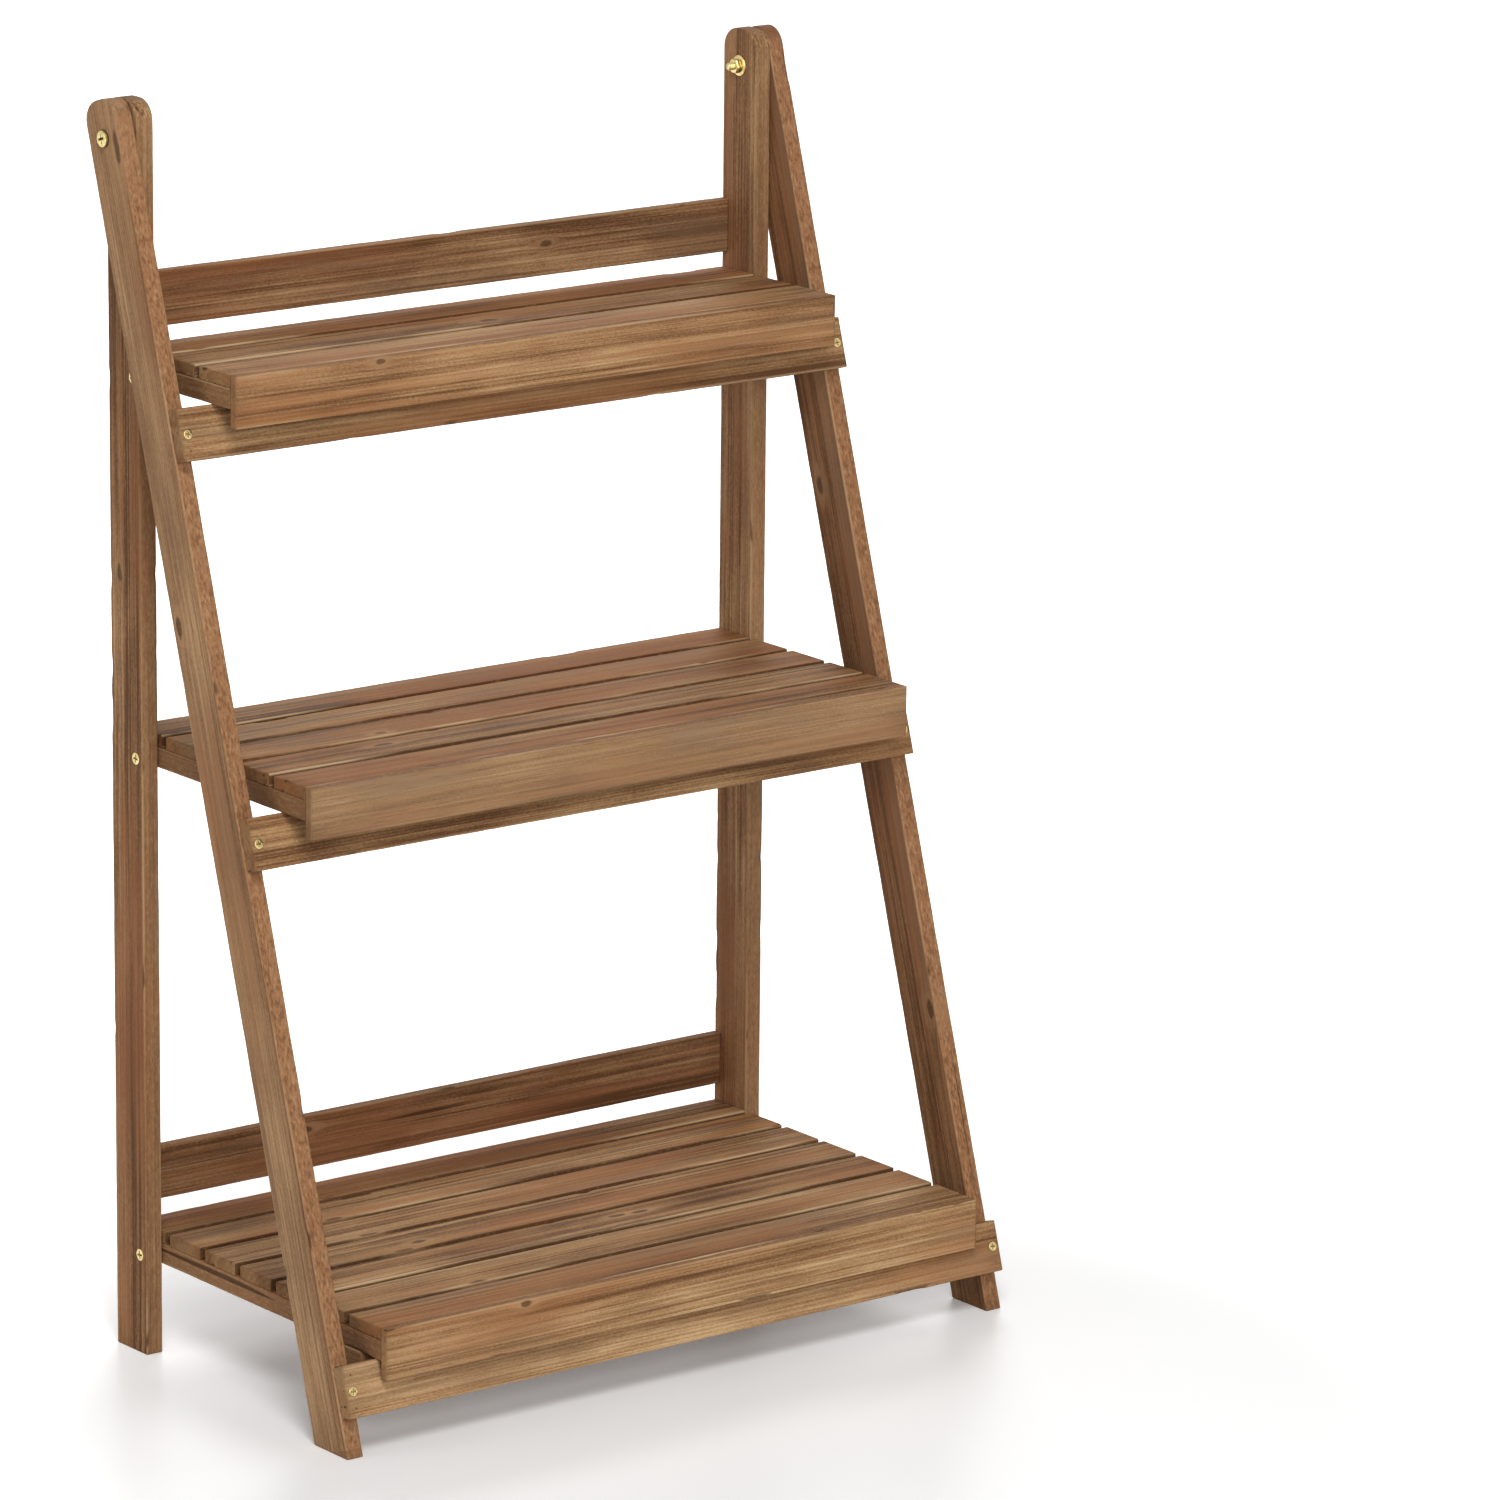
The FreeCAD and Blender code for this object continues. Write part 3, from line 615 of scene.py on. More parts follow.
@dataclass(frozen=True)
class Board:
    """A sawn board, by its middle, the way of its grain and width, and its three sizes, in metres.

    The crown is the radius of the corners at its high end, and the foot slope is how far a level foot rises
    across the board.
    """

    middle: Vector
    along: Vector
    across: Vector
    sizes: tuple[float, float, float]
    crown: float = 0.0
    foot_slope: float = 0.0
    edge_round: float = 0.9 * MM
    step: float = 3.5 * MM
    shoulder: float = 0.5 * MM
    bevel_steps: int = 3
    crown_steps: int = 12
    foot_blend: float = 60 * MM

    def corner(self, radius: float, end: int, steps: int) -> list[tuple[float, ...]]:
        """One rounded corner of the outline.

        Args:
            radius: the corner's radius.
            end: -1 for the low end, 1 for the high end.
            steps: how many steps round it.

        Returns:
            Rows like those of the side.
        """
        length, width, _ = self.sizes
        start = min(end, 0) * math.pi / 2
        rows = []
        for angle in np.linspace(start, start + math.pi / 2, steps + 1):
            out = (math.cos(angle), math.sin(angle))
            aside = width / 2 - radius + radius * out[0]
            rows.append((aside, end * (length / 2 - radius) + radius * out[1], *out))
        return rows

    def side(self) -> np.ndarray:
        """One long side of the outline, from the low end to the high end.

        Returns:
            Rows of half-width, place along the grain, and the edge's outward direction in both.
        """
        length, width, _ = self.sizes
        crown = max(self.crown, self.edge_round)
        rows = [(width / 2 - self.edge_round - self.shoulder, -length / 2, 0.0, -1.0)]
        rows += self.corner(self.edge_round, -1, self.bevel_steps)
        low = self.edge_round - length / 2 + self.shoulder
        high = length / 2 - crown - self.shoulder
        for place in np.linspace(low, high, max(2, round((high - low) / self.step))):
            rows.append((width / 2, place, 1.0, 0.0))
        rows += self.corner(crown, 1, self.crown_steps if self.crown else self.bevel_steps)
        rows.append((width / 2 - crown - self.shoulder, length / 2, 0.0, 1.0))
        return np.array(rows)

    def layers(self) -> list[tuple[float, float]]:
        """Places through the thickness, each with how far the outline is drawn in there."""
        half = self.sizes[2] / 2
        rounded = self.edge_round
        lower = [(-half, rounded + self.shoulder)]
        for angle in np.linspace(0, math.pi / 2, self.bevel_steps + 1):
            lower.append((-half + rounded * (1 - math.cos(angle)), rounded * (1 - math.sin(angle))))
        lower.append((-half + rounded + self.shoulder, 0.0))
        return lower + [(-place, inset) for place, inset in reversed(lower)]

    def mesh(self, name: str) -> bpy.types.Mesh:
        """Builds the board's closed mesh.

        Args:
            name: the mesh's name.

        Returns:
            The mesh, with what the wood reads of its grain.
        """
        side = self.side()
        count = len(side)
        rows = []
        for through, inset in self.layers():
            for way, part in ((1, side), (-1, side[::-1])):
                across = way * (part[:, 0] - inset * part[:, 2])
                along = part[:, 1] - inset * part[:, 3]
                rise = np.clip((-self.sizes[0] / 2 + self.foot_blend - along) / self.foot_blend, 0, 1)
                along = along + self.foot_slope * across * rise * rise * (3 - 2 * rise)
                rows.append(np.column_stack([along, across, np.full(count, through)]))
        grain = np.concatenate(rows)
        loop = 2 * count
        faces = []
        for base in range(0, len(grain) - loop, loop):
            for here in range(loop):
                beside = (here + 1) % loop
                faces.append((base + here, base + beside, base + loop + beside, base + loop + here))
        for base in (0, len(grain) - loop):
            for here in range(count - 1):
                faces.append((base + here, base + here + 1, base + loop - 2 - here, base + loop - 1 - here))
        ways = np.array([self.along, self.across, self.along.cross(self.across)])
        halves = np.tile(np.array(self.sizes) / 2, (len(grain), 1))
        points = np.array(self.middle) + grain @ ways
        return new_mesh(name, points, faces, {GRAIN_NAME: grain, HALVES_NAME: halves})


class RowTree:
    """A geometry tree that sets copies of one shape at a mesh's points and gives them a finish."""

    def __init__(self, name: str) -> None:
        """Starts the tree with the inputs that every row has."""
        self.tree = bpy.data.node_groups.new(name, "GeometryNodeTree")
        self.nodes = Nodes(self.tree)
        self.identifiers: dict[str, str] = {}
        self.socket("Points", "NodeSocketGeometry")
        self.socket("Shape", "NodeSocketObject")
        self.socket("Finish", "NodeSocketMaterial")

    def socket(self, name: str, kind: str, way: str = "INPUT") -> None:
        """Adds one named input or output to the tree's interface."""
        made = self.tree.interface.new_socket(name, in_out=way, socket_type=kind)
        self.identifiers[name] = made.identifier

    def copies(self, source: Value, rotation: Value | None = None) -> Value:
        """Copies of the shape at the points.

        Args:
            source: the group's inputs.
            rotation: how each copy is turned.

        Returns:
            The copies as one mesh.
        """
        shape = self.nodes.add("GeometryNodeObjectInfo", None, {"Object": source.out("Shape")})
        sockets = {"Points": source.out("Points"), "Instance": shape.out("Geometry")}
        if rotation is not None:
            sockets["Rotation"] = rotation
        placed = self.nodes.add("GeometryNodeInstanceOnPoints", None, sockets)
        return self.nodes.add("GeometryNodeRealizeInstances", None, {"Geometry": placed})

    def close(self, source: Value, geometry: Value) -> None:
        """Gives the mesh its finish and hands it out."""
        sockets = {"Geometry": geometry, "Material": source.out("Finish")}
        dressed = self.nodes.add("GeometryNodeSetMaterial", None, sockets)
        self.socket("Mesh", "NodeSocketGeometry", "OUTPUT")
        self.nodes.add("NodeGroupOutput", None, {"Mesh": dressed})

    def grow(self, name: str, points: bpy.types.Mesh, values: dict[str, object]) -> bpy.types.Object:
        """Runs the tree once and keeps its result as a plain mesh.

        Args:
            name: the piece's name.
            points: the mesh whose points are the places.
            values: the tree's inputs by name.

        Returns:
            The finished piece.
        """
        piece = new_object(name, points)
        modifier = piece.modifiers.new("row", "NODES")
        modifier.node_group = self.tree
        for key, value in values.items():
            modifier[self.identifiers[key]] = value
        graph = bpy.context.evaluated_depsgraph_get()
        mesh = bpy.data.meshes.new_from_object(
            piece.evaluated_get(graph), preserve_all_data_layers=True, depsgraph=graph
        )
        piece.modifiers.remove(modifier)
        piece.data = mesh
        mesh.name = name
        bpy.data.meshes.remove(points)
        return piece


class BoardRow(RowTree):
    """Boards in a row, each with its own worn and chipped edges."""

    def __init__(self) -> None:
        """Builds the tree."""
        super().__init__("worn_boards")
        self.socket("Wear", "NodeSocketFloat")
        self.socket("Chip", "NodeSocketFloat")
        nodes = self.nodes
        source = nodes.add("NodeGroupInput")
        boards = self.copies(source)
        grain = BoardGrainField(nodes)
        rubbed = grain.field(EDGE_WEAR).ramp(0.4, 0.75) * source.out("Wear")
        depth = rubbed * grain.near_edge + grain.chips() * source.out("Chip")
        normal = nodes.add("GeometryNodeInputNormal")
        offset = nodes.vector_math("SCALE", {0: normal, "Scale": depth * -1.0})
        moved = nodes.add("GeometryNodeSetPosition", None, {"Geometry": boards, "Offset": offset})
        self.close(source, moved)


class FastenerRow(RowTree):
    """Fasteners at their spots, each pointing along its aim and turned a little at random about it."""

    most_turn = math.radians(24)

    def __init__(self) -> None:
        """Builds the tree."""
        super().__init__("fasteners")
        self.socket("Seed", "NodeSocketInt")
        nodes = self.nodes
        source = nodes.add("NodeGroupInput")
        settings = {"data_type": "FLOAT_VECTOR"}
        aim = nodes.add("GeometryNodeInputNamedAttribute", settings, {"Name": AIM_NAME})
        facing = nodes.add("FunctionNodeAlignRotationToVector", {"axis": "Z"}, {"Vector": aim})
        sockets = {2: -self.most_turn, 3: self.most_turn, "Seed": source.out("Seed")}
        spin = nodes.add("FunctionNodeRandomValue", {"data_type": "FLOAT"}, sockets, 1)
        turn = nodes.add("FunctionNodeAxisAngleToRotation", None, {"Axis": (0, 0, 1), "Angle": spin})
        settings = {"rotation_space": "LOCAL"}
        rotation = nodes.add("FunctionNodeRotateRotation", settings, {"Rotation": facing, "Rotate By": turn})
        self.close(source, self.copies(source, rotation))


def ring_turns(sectors: int) -> np.ndarray:
    """The angles of a ring's points."""
    return np.arange(sectors) * math.tau / sectors


def ring_points(rings: Sequence[Ring], tips: tuple[float, float], sectors: int) -> np.ndarray:
    """Points of a shape about Z: a tip, closed rings of points, and a tip.

    Args:
        rings: radius and height of each ring, as one number or as one for each of its points.
        tips: heights of the two tips.
        sectors: how many points each ring has.

    Returns:
        The points, one row each.
    """
    turns = ring_turns(sectors)
    rows = [np.array([(0.0, 0.0, tips[0])])]
    for radius, height in rings:
        heights = np.broadcast_to(height, sectors)
        rows.append(np.column_stack([radius * np.cos(turns), radius * np.sin(turns), heights]))
    rows.append(np.array([(0.0, 0.0, tips[1])]))
    return np.concatenate(rows)


def ring_faces(rings: int, sectors: int) -> list[tuple[int, ...]]:
    """Faces of a shape about Z: a tip, closed rings of points, and a tip.

    Args:
        rings: how many rings lie between the two tips.
        sectors: how many points each ring has.

    Returns:
        The faces.
    """
    last = rings * sectors + 1
    faces: list[tuple[int, ...]] = []
    for here in range(sectors):
        beside = (here + 1) % sectors
        faces.append((0, 1 + here, 1 + beside))
        for low in range(1, last - sectors, sectors):
            high = low + sectors
            faces.append((low + here, high + here, high + beside, low + beside))
        faces.append((last - sectors + here, last, last - sectors + beside))
    return faces


def ring_mesh(name: str, rings: Sequence[Ring], tips: tuple[float, float], sectors: int) -> bpy.types.Mesh:
    """A closed mesh about Z, from a tip, rings and a tip."""
    return new_mesh(name, ring_points(rings, tips, sectors), ring_faces(len(rings), sectors))


@dataclass(frozen=True)
class CrossHead:
    """A round head with a cross recess, drawn about Z with its seat at the height of 0, in metres.

    The rim starts at a share of the radius and drops by a share of the height. The dark rim is painted
    shadow
    in the gap around the head: where it starts, as a share of the radius, and how dark it is.
    """

    radius: float
    height: float
    dome: float
    recess_reach: float
    recess_width: float
    recess_depth: float
    shank: float = 0.3 * MM
    rings: int = 30
    sectors: int = 72
    rim_start: float = 0.82
    rim_drop: float = 0.35
    recess_wall: float = 0.15
    recess_taper: float = 0.45
    dark_rim: tuple[float, float] = (0.93, 0.8)

    def sunk(self, x: np.ndarray, y: np.ndarray) -> np.ndarray:
        """How far places lie inside the cross recess, from 0 outside to 1 at its floor."""
        arm = np.maximum(np.abs(x) - self.recess_width / 2, np.abs(y) - self.recess_reach)
        other = np.maximum(np.abs(y) - self.recess_width / 2, np.abs(x) - self.recess_reach)
        return np.clip(-np.minimum(arm, other) / (self.recess_wall * self.recess_width), 0, 1)

    def surface(self, x: np.ndarray, y: np.ndarray) -> np.ndarray:
        """Heights of the domed top with its recess.

        Args:
            x: places across.
            y: places up.

        Returns:
            The heights in metres.
        """
        share = np.clip(np.hypot(x, y) / self.radius, 0, 1)
        rim = np.clip((share - self.rim_start) / (1 - self.rim_start), 0, 1)
        top = self.height - self.dome * share**2 - self.rim_drop * self.height * rim**2
        taper = 1 - self.recess_taper * share * self.radius / self.recess_reach
        return top - self.recess_depth * self.sunk(x, y) * taper

    def mesh(self, name: str) -> bpy.types.Mesh:
        """Builds the head as a closed mesh."""
        turns = ring_turns(self.sectors)
        rings: list[Ring] = []
        for radius in self.radius * np.linspace(0, 1, self.rings + 1)[1:]:
            rings.append((radius, self.surface(radius * np.cos(turns), radius * np.sin(turns))))
        rings.append((self.radius, -self.shank))
        centre = float(self.surface(np.zeros(1), np.zeros(1))[0])
        points = ring_points(rings, (centre, -self.shank), self.sectors)
        x, y, z = points.T
        # Painted shadow: a dark ring round the head's edge, standing for the shade of the gap around it
        start, darkness = self.dark_rim
        rim = darkness * (np.hypot(x, y) > start * self.radius)
        # Where the head is darkened as painted shade: in the cross recess and in the rim
        recess = np.maximum(self.sunk(x, y) * (z > -self.shank), rim)
        faces = ring_faces(len(rings), self.sectors)
        return new_mesh(name, points, faces, {PAINTED_SHADE_NAME: np.column_stack([recess] * 3)})


@dataclass(frozen=True)
class Turned:
    """A shape of revolution about Z, by the radius and height of each ring, in metres."""

    profile: tuple[tuple[float, float], ...]
    sectors: int = 48

    def mesh(self, name: str) -> bpy.types.Mesh:
        """Builds the shape as a closed mesh."""
        return ring_mesh(name, self.profile, (self.profile[0][1], self.profile[-1][1]), self.sectors)


@dataclass(frozen=True)
class HexNut:
    """A six-sided nut about Z, chamfered on both sides, in metres."""

    width: float
    height: float
    chamfer_rise: float = 0.55
    flat_share: float = 0.93
    sectors: int = 72

    def mesh(self, name: str) -> bpy.types.Mesh:
        """Builds the nut as a closed mesh."""
        apothem = self.width / 2
        flat = self.flat_share * apothem
        outer = apothem / np.cos((ring_turns(self.sectors) + math.pi / 6) % (math.pi / 3) - math.pi / 6)
        drop = (outer - flat) * self.chamfer_rise
        rings = [(flat, 0.0), (outer, drop), (outer, self.height - drop), (flat, self.height)]
        return ring_mesh(name, rings, (0.0, self.height), self.sectors)


@dataclass(frozen=True)
class ThreadedEnd:
    """The threaded end of a bolt about Z, in metres."""

    radius: float
    length: float
    pitch: float = 1.0 * MM
    depth: float = 0.32 * MM
    tip_share: float = 0.6
    sectors: int = 36
    rows_per_turn: int = 6

    def mesh(self, name: str) -> bpy.types.Mesh:
        """Builds the thread as one helical surface with closed ends."""
        turns = np.arange(self.sectors) / self.sectors
        rows = round(self.length / self.pitch * self.rows_per_turn)
        rings = []
        for row in range(rows + 1):
            height = self.length * row / rows
            wave = np.abs(((height / self.pitch - turns) % 1.0) * 2 - 1)
            tip = max(0.0, 1 - (self.length - height) / self.pitch)
            rings.append((self.radius - self.depth * wave - self.tip_share * self.depth * tip, height))
        return ring_mesh(name, rings, (0.0, self.length), self.sectors)


Fastener = Union[CrossHead, Turned, HexNut, ThreadedEnd]


def box_middle(node: str) -> Vector:
    """The middle of a node's box."""
    low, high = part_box(node)
    return (low + high) / 2


def box_sizes(node: str) -> Vector:
    """The three extents of a node's box."""
    low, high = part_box(node)
    return high - low


def outer_spots(node: str, outward: Vector | None = None) -> Spots:
    """Where each solid of a fastener node comes to the surface.

    Args:
        node: the node's name.
        outward: the way out of the wood, or nothing where it is along X away from the middle.

    Returns:
        The middle of each outer end, with the way out there.
    """
    shape = bmesh.new()
    shape.from_mesh(frame["nodes"][node].data)
    bmesh.ops.remove_doubles(shape, verts=shape.verts, dist=SAME_POINT)
    spots = []
    waiting = set(shape.verts)
    while waiting:
        island, edge = [], [waiting.pop()]
        while edge:
            vert = edge.pop()
            island.append(vert.co.copy())
            fresh = {other for link in vert.link_edges for other in link.verts} & waiting
            waiting -= fresh
            edge += fresh
        way = outward or AXIS_X * math.copysign(1.0, island[0].x)
        reach = max(point.dot(way) for point in island)
        ends = [point for point in island if point.dot(way) > reach - END_DEPTH]
        spots.append((sum(ends, Vector()) / len(ends), way))
    shape.free()
    return sorted(spots, key=lambda spot: tuple(spot[0]))


def moved(spots: Spots, distance: float) -> Spots:
    """The same spots, moved along their ways."""
    return [(place + way * distance, way) for place, way in spots]


@dataclass
class Workshop:
    """The finishes and geometry trees that all sub-assemblies share."""

    woods: dict[Wood, bpy.types.Material]
    plating: bpy.types.Material
    dull: bpy.types.Material
    boards: BoardRow = field(default_factory=BoardRow)
    fasteners: FastenerRow = field(default_factory=FastenerRow)
    wear: float = 0.2 * MM
    chip: float = 0.6 * MM
    brad_radius: float = 0.8 * MM
    brad_depth: float = 0.4 * MM
    brad_rise: tuple[float, float] = (0.02 * MM, 0.09 * MM)
    brad_crown: float = 0.75
    brad_sectors: int = 16
    brad_seed: int = 17

    def keep(self, piece: bpy.types.Object, body: str, nodes: Sequence[str], slot: Slot) -> None:
        """Ties a finished piece to its body and hides the nodes that it stands for.

        Args:
            piece: the finished piece.
            body: the body that it rides on.
            nodes: the nodes that it stands for.
            slot: not used.
        """
        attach(piece, body)
        if nodes:
            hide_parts(*nodes)
        log.info("%s: %d faces on %s", piece.name, len(piece.data.polygons), body)

    def board_row(
        self,
        name: str,
        board: Board,
        offsets: Sequence[Vector],
        characters: Sequence[Character],
        wood: Wood,
    ) -> bpy.types.Object:
        """Makes worn boards of one size.

        Args:
            name: the piece's name.
            board: the first board.
            offsets: how far each board lies from the first.
            characters: what sets each board apart.
            wood: the wood that they are made of.

        Returns:
            The boards as one piece.
        """
        shape = new_object(f"{name}_shape", board.mesh(f"{name}_shape"))
        rows = [character.attributes() for character in characters]
        attributes = {key: np.array([row[key] for row in rows]) for key in rows[0]}
        points = new_mesh(name, np.array([tuple(offset) for offset in offsets]), (), attributes)
        values = {"Shape": shape, "Finish": self.woods[wood], "Wear": self.wear, "Chip": self.chip}
        piece = self.boards.grow(name, points, values)
        bpy.data.meshes.remove(shape.data)
        return piece

    def keep_board(
        self,
        node: str,
        body: str,
        board: Board,
        character: Character,
        wood: Wood,
        slot: Slot = Slot.FRAME,
    ) -> None:
        """Makes the single worn board that stands for a node.

        Args:
            node: the node.
            body: the body that it rides on.
            board: its shape.
            character: what sets it apart.
            wood: the wood that it is made of.
            slot: the record's slot, which is handed on to keep.
        """
        piece = self.board_row(f"{node}_board", board, [Vector()], [character], wood)
        self.keep(piece, body, [node], slot)

    def fill_box(
        self,
        node: str,
        body: str,
        ways: tuple[Vector, Vector],
        character: Character,
        wood: Wood,
        slot: Slot = Slot.FRAME,
        crown: float = 0.0,
    ) -> None:
        """Makes the board that fills a node's box.

        Args:
            node: the node.
            body: the body that it rides on.
            ways: the axes of its grain and its width.
            character: what sets it apart.
            wood: the wood that it is made of.
            slot: the record's slot, which is handed on to keep.
            crown: the radius of the corners at its high end.
        """
        along, across = ways
        sizes = tuple(abs(box_sizes(node).dot(way)) for way in (along, across, along.cross(across)))
        board = Board(box_middle(node), along, across, sizes, crown=crown)
        self.keep_board(node, body, board, character, wood, slot)

    def fasten(
        self,
        name: str,
        body: str,
        nodes: Sequence[str],
        shape: Fastener,
        spots: Spots,
        seed: int,
        dull: bool = False,
    ) -> None:
        """Sets copies of one fastener at their spots.

        Args:
            name: the piece's name.
            body: the body that they ride on.
            nodes: the nodes that they stand for.
            shape: the fastener, drawn about Z.
            spots: where each one sits, and the way that it points.
            seed: the seed of their turns.
            dull: whether they are stained over with the wood.
        """
        master = new_object(f"{name}_shape", shape.mesh(f"{name}_shape"))
        aims = np.array([tuple(way) for _, way in spots])
        points = new_mesh(name, np.array([tuple(place) for place, _ in spots]), (), {AIM_NAME: aims})
        values = {"Shape": master, "Finish": self.dull if dull else self.plating, "Seed": seed}
        piece = self.fasteners.grow(name, points, values)
        bpy.data.meshes.remove(master.data)
        self.keep(piece, body, nodes, Slot.PLATED)

    def drive_brads(self, name: str, body: str, node: str, outward: Vector | None = None) -> None:
        """Makes the small flat heads of a node's brads, just flush with the wood.

        Args:
            name: the piece's name.
            body: the body that they ride on.
            node: the brads' node.
            outward: the way out of the wood, or nothing where it is along X away from the middle.
        """
        radius = self.brad_radius
        edge, top = self.brad_rise
        profile = ((radius, -self.brad_depth), (radius, edge), (self.brad_crown * radius, top))
        head = Turned(profile, self.brad_sectors)
        self.fasten(name, body, [node], head, outer_spots(node, outward), self.brad_seed, dull=True)


@dataclass
class RearFrame:
    """The upright frame: two legs with rounded tops, two back rails and the pivots' hardware.

    The thread start is the share of a nut's height from which the bolt's end is drawn.
    """

    workshop: Workshop
    body: str = "rear_frame"
    crown: float = 16 * MM
    top_head: CrossHead = CrossHead(
        radius=6.5 * MM,
        height=3.0 * MM,
        dome=0.9 * MM,
        recess_reach=3.7 * MM,
        recess_width=1.9 * MM,
        recess_depth=1.6 * MM,
    )
    washer_thickness: float = 1.2 * MM
    washer_chamfer: float = 0.3 * MM
    top_nut_height: float = 5.0 * MM
    top_bolt_radius: float = 3.0 * MM
    top_bolt_tip: float = 11 * MM
    shelf_head: CrossHead = CrossHead(
        radius=4.75 * MM,
        height=0.55 * MM,
        dome=0.4 * MM,
        recess_reach=3.0 * MM,
        recess_width=1.6 * MM,
        recess_depth=1.0 * MM,
        shank=0.6 * MM,
    )
    shelf_nut: HexNut = HexNut(width=8.0 * MM, height=4.0 * MM)
    shelf_bolt_end: ThreadedEnd = ThreadedEnd(
        radius=2.5 * MM, length=3.3 * MM, pitch=0.8 * MM, depth=0.25 * MM
    )
    thread_start: float = 0.8

    def build(self) -> None:
        """Makes every piece of the frame."""
        self.build_boards()
        self.build_top_pivots()
        self.build_shelf_pivots()
        self.workshop.drive_brads("back_rail_brad_heads", self.body, "back_rail_brads")

    def build_boards(self) -> None:
        """Makes the two legs and the two back rails."""
        fill_box = self.workshop.fill_box
        for side, character in REAR_LEGS.items():
            ways = (AXIS_Z, AXIS_Y)
            fill_box(f"rear_leg_{side.word}", self.body, ways, character, Wood.REAR, crown=self.crown)
        for word, character in BACK_RAILS.items():
            fill_box(f"back_rail_{word}", self.body, (AXIS_X, AXIS_Z), character, Wood.REAR)

    def build_top_pivots(self) -> None:
        """Makes the bolts on which the front frame swings, with their washers and nuts."""
        fasten = self.workshop.fasten
        heads = moved(outer_spots("top_pivot_bolts"), -self.top_head.height)
        fasten("top_pivot_heads", self.body, ["top_pivot_bolts"], self.top_head, heads, seed=3)

        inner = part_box("rear_leg_right")[0].x
        middle = box_middle("top_pivot_washers")
        seats = []
        for side in Side:
            seats.append((Vector((side.value * inner, middle.y, middle.z)), AXIS_X * -side.value))
        reach = box_sizes("top_pivot_washers").y / 2
        thick, chamfer = self.washer_thickness, self.washer_chamfer
        washer = Turned(
            ((reach - chamfer, 0.0), (reach, chamfer), (reach, thick - chamfer), (reach - chamfer, thick))
        )
        fasten("top_washers", self.body, ["top_pivot_washers"], washer, seats, seed=5)
        nut_box = box_sizes("top_pivot_nuts")
        nut = HexNut(min(nut_box.y, nut_box.z), self.top_nut_height)
        fasten("top_nuts", self.body, ["top_pivot_nuts"], nut, moved(seats, thick), seed=7)
        start = thick + self.thread_start * nut.height
        thread = ThreadedEnd(self.top_bolt_radius, self.top_bolt_tip - start)
        fasten("top_bolt_ends", self.body, [], thread, moved(seats, start), seed=9)

    def build_shelf_pivots(self) -> None:
        """Makes the flush bolts on which the shelves swing, with their nuts."""
        fasten = self.workshop.fasten
        spots = outer_spots("shelf_pivot_bolts")
        fasten("shelf_pivot_heads", self.body, ["shelf_pivot_bolts"], self.shelf_head, spots, seed=11)
        inward = [(place, -way) for place, way in outer_spots("shelf_pivot_nuts")]
        fasten("shelf_nuts", self.body, ["shelf_pivot_nuts"], self.shelf_nut, inward, seed=13)
        ends = moved(inward, self.thread_start * self.shelf_nut.height)
        fasten("shelf_bolt_ends", self.body, [], self.shelf_bolt_end, ends, seed=15)


@dataclass
class FrontFrame:
    """The leaning frame: two legs with level feet, and three rails on their front edges.

    The rail round is how much the rounding of a rail's corners takes from its leaning box.
    """

    workshop: Workshop
    body: str = "front_frame"
    crown: float = 16 * MM
    rail_round: float = 2 * MM
    screw: CrossHead = CrossHead(
        radius=3.75 * MM,
        height=0.6 * MM,
        dome=0.35 * MM,
        recess_reach=2.2 * MM,
        recess_width=1.1 * MM,
        recess_depth=0.9 * MM,
        shank=0.5 * MM,
    )

    def __post_init__(self) -> None:
        """Works out the lean from the rails, which all lie the same way on the legs."""
        rise = box_middle("front_rail_top") - box_middle("front_rail_bottom")
        self.lean = math.atan2(rise.y, rise.z)
        self.up = Vector((0, math.sin(self.lean), math.cos(self.lean)))
        self.back = Vector((0, math.cos(self.lean), -math.sin(self.lean)))

    def build(self) -> None:
        """Makes every piece of the frame."""
        self.build_legs()
        self.build_rails()
        screws = "front_rail_screws"
        spots = outer_spots(screws, -self.back)
        self.workshop.fasten("rail_screw_heads", self.body, [screws], self.screw, spots, seed=19)
        self.workshop.drive_brads("front_rail_brad_heads", self.body, "front_rail_brads", -self.back)

    def build_legs(self) -> None:
        """Makes the two leaning legs, from the pivot's place and the rear legs' section."""
        folds = (joint for joint in frame["joints"] if joint["name"] == "front_frame_fold")
        pivot = Vector(next(folds)["pos_m"])
        rear = box_sizes("rear_leg_left")
        top = rear.z - pivot.z
        length = pivot.z / math.cos(self.lean) + top
        sizes = (length, rear.y, rear.x)
        slope = math.tan(self.lean)
        for side, character in FRONT_LEGS.items():
            node = f"front_leg_{side.word}"
            centre = pivot + self.up * (top - length / 2)
            centre.x = box_middle(node).x
            board = Board(centre, self.up, self.back, sizes, crown=self.crown, foot_slope=slope)
            self.workshop.keep_board(node, self.body, board, character, Wood.FRONT)

    def build_rails(self) -> None:
        """Makes the three rails, whose section follows from their leaning boxes."""
        sine, cosine = math.sin(self.lean), math.cos(self.lean)
        spread = cosine * cosine - sine * sine
        for word, character in FRONT_RAILS.items():
            node = f"front_rail_{word}"
            sizes = box_sizes(node)
            deep, tall = sizes.y - self.rail_round, sizes.z - self.rail_round
            thickness = (deep * cosine - tall * sine) / spread + self.rail_round
            height = (tall * cosine - deep * sine) / spread + self.rail_round
            board = Board(box_middle(node), AXIS_X, self.up, (sizes.x, height, thickness))
            self.workshop.keep_board(node, self.body, board, character, Wood.LIP)


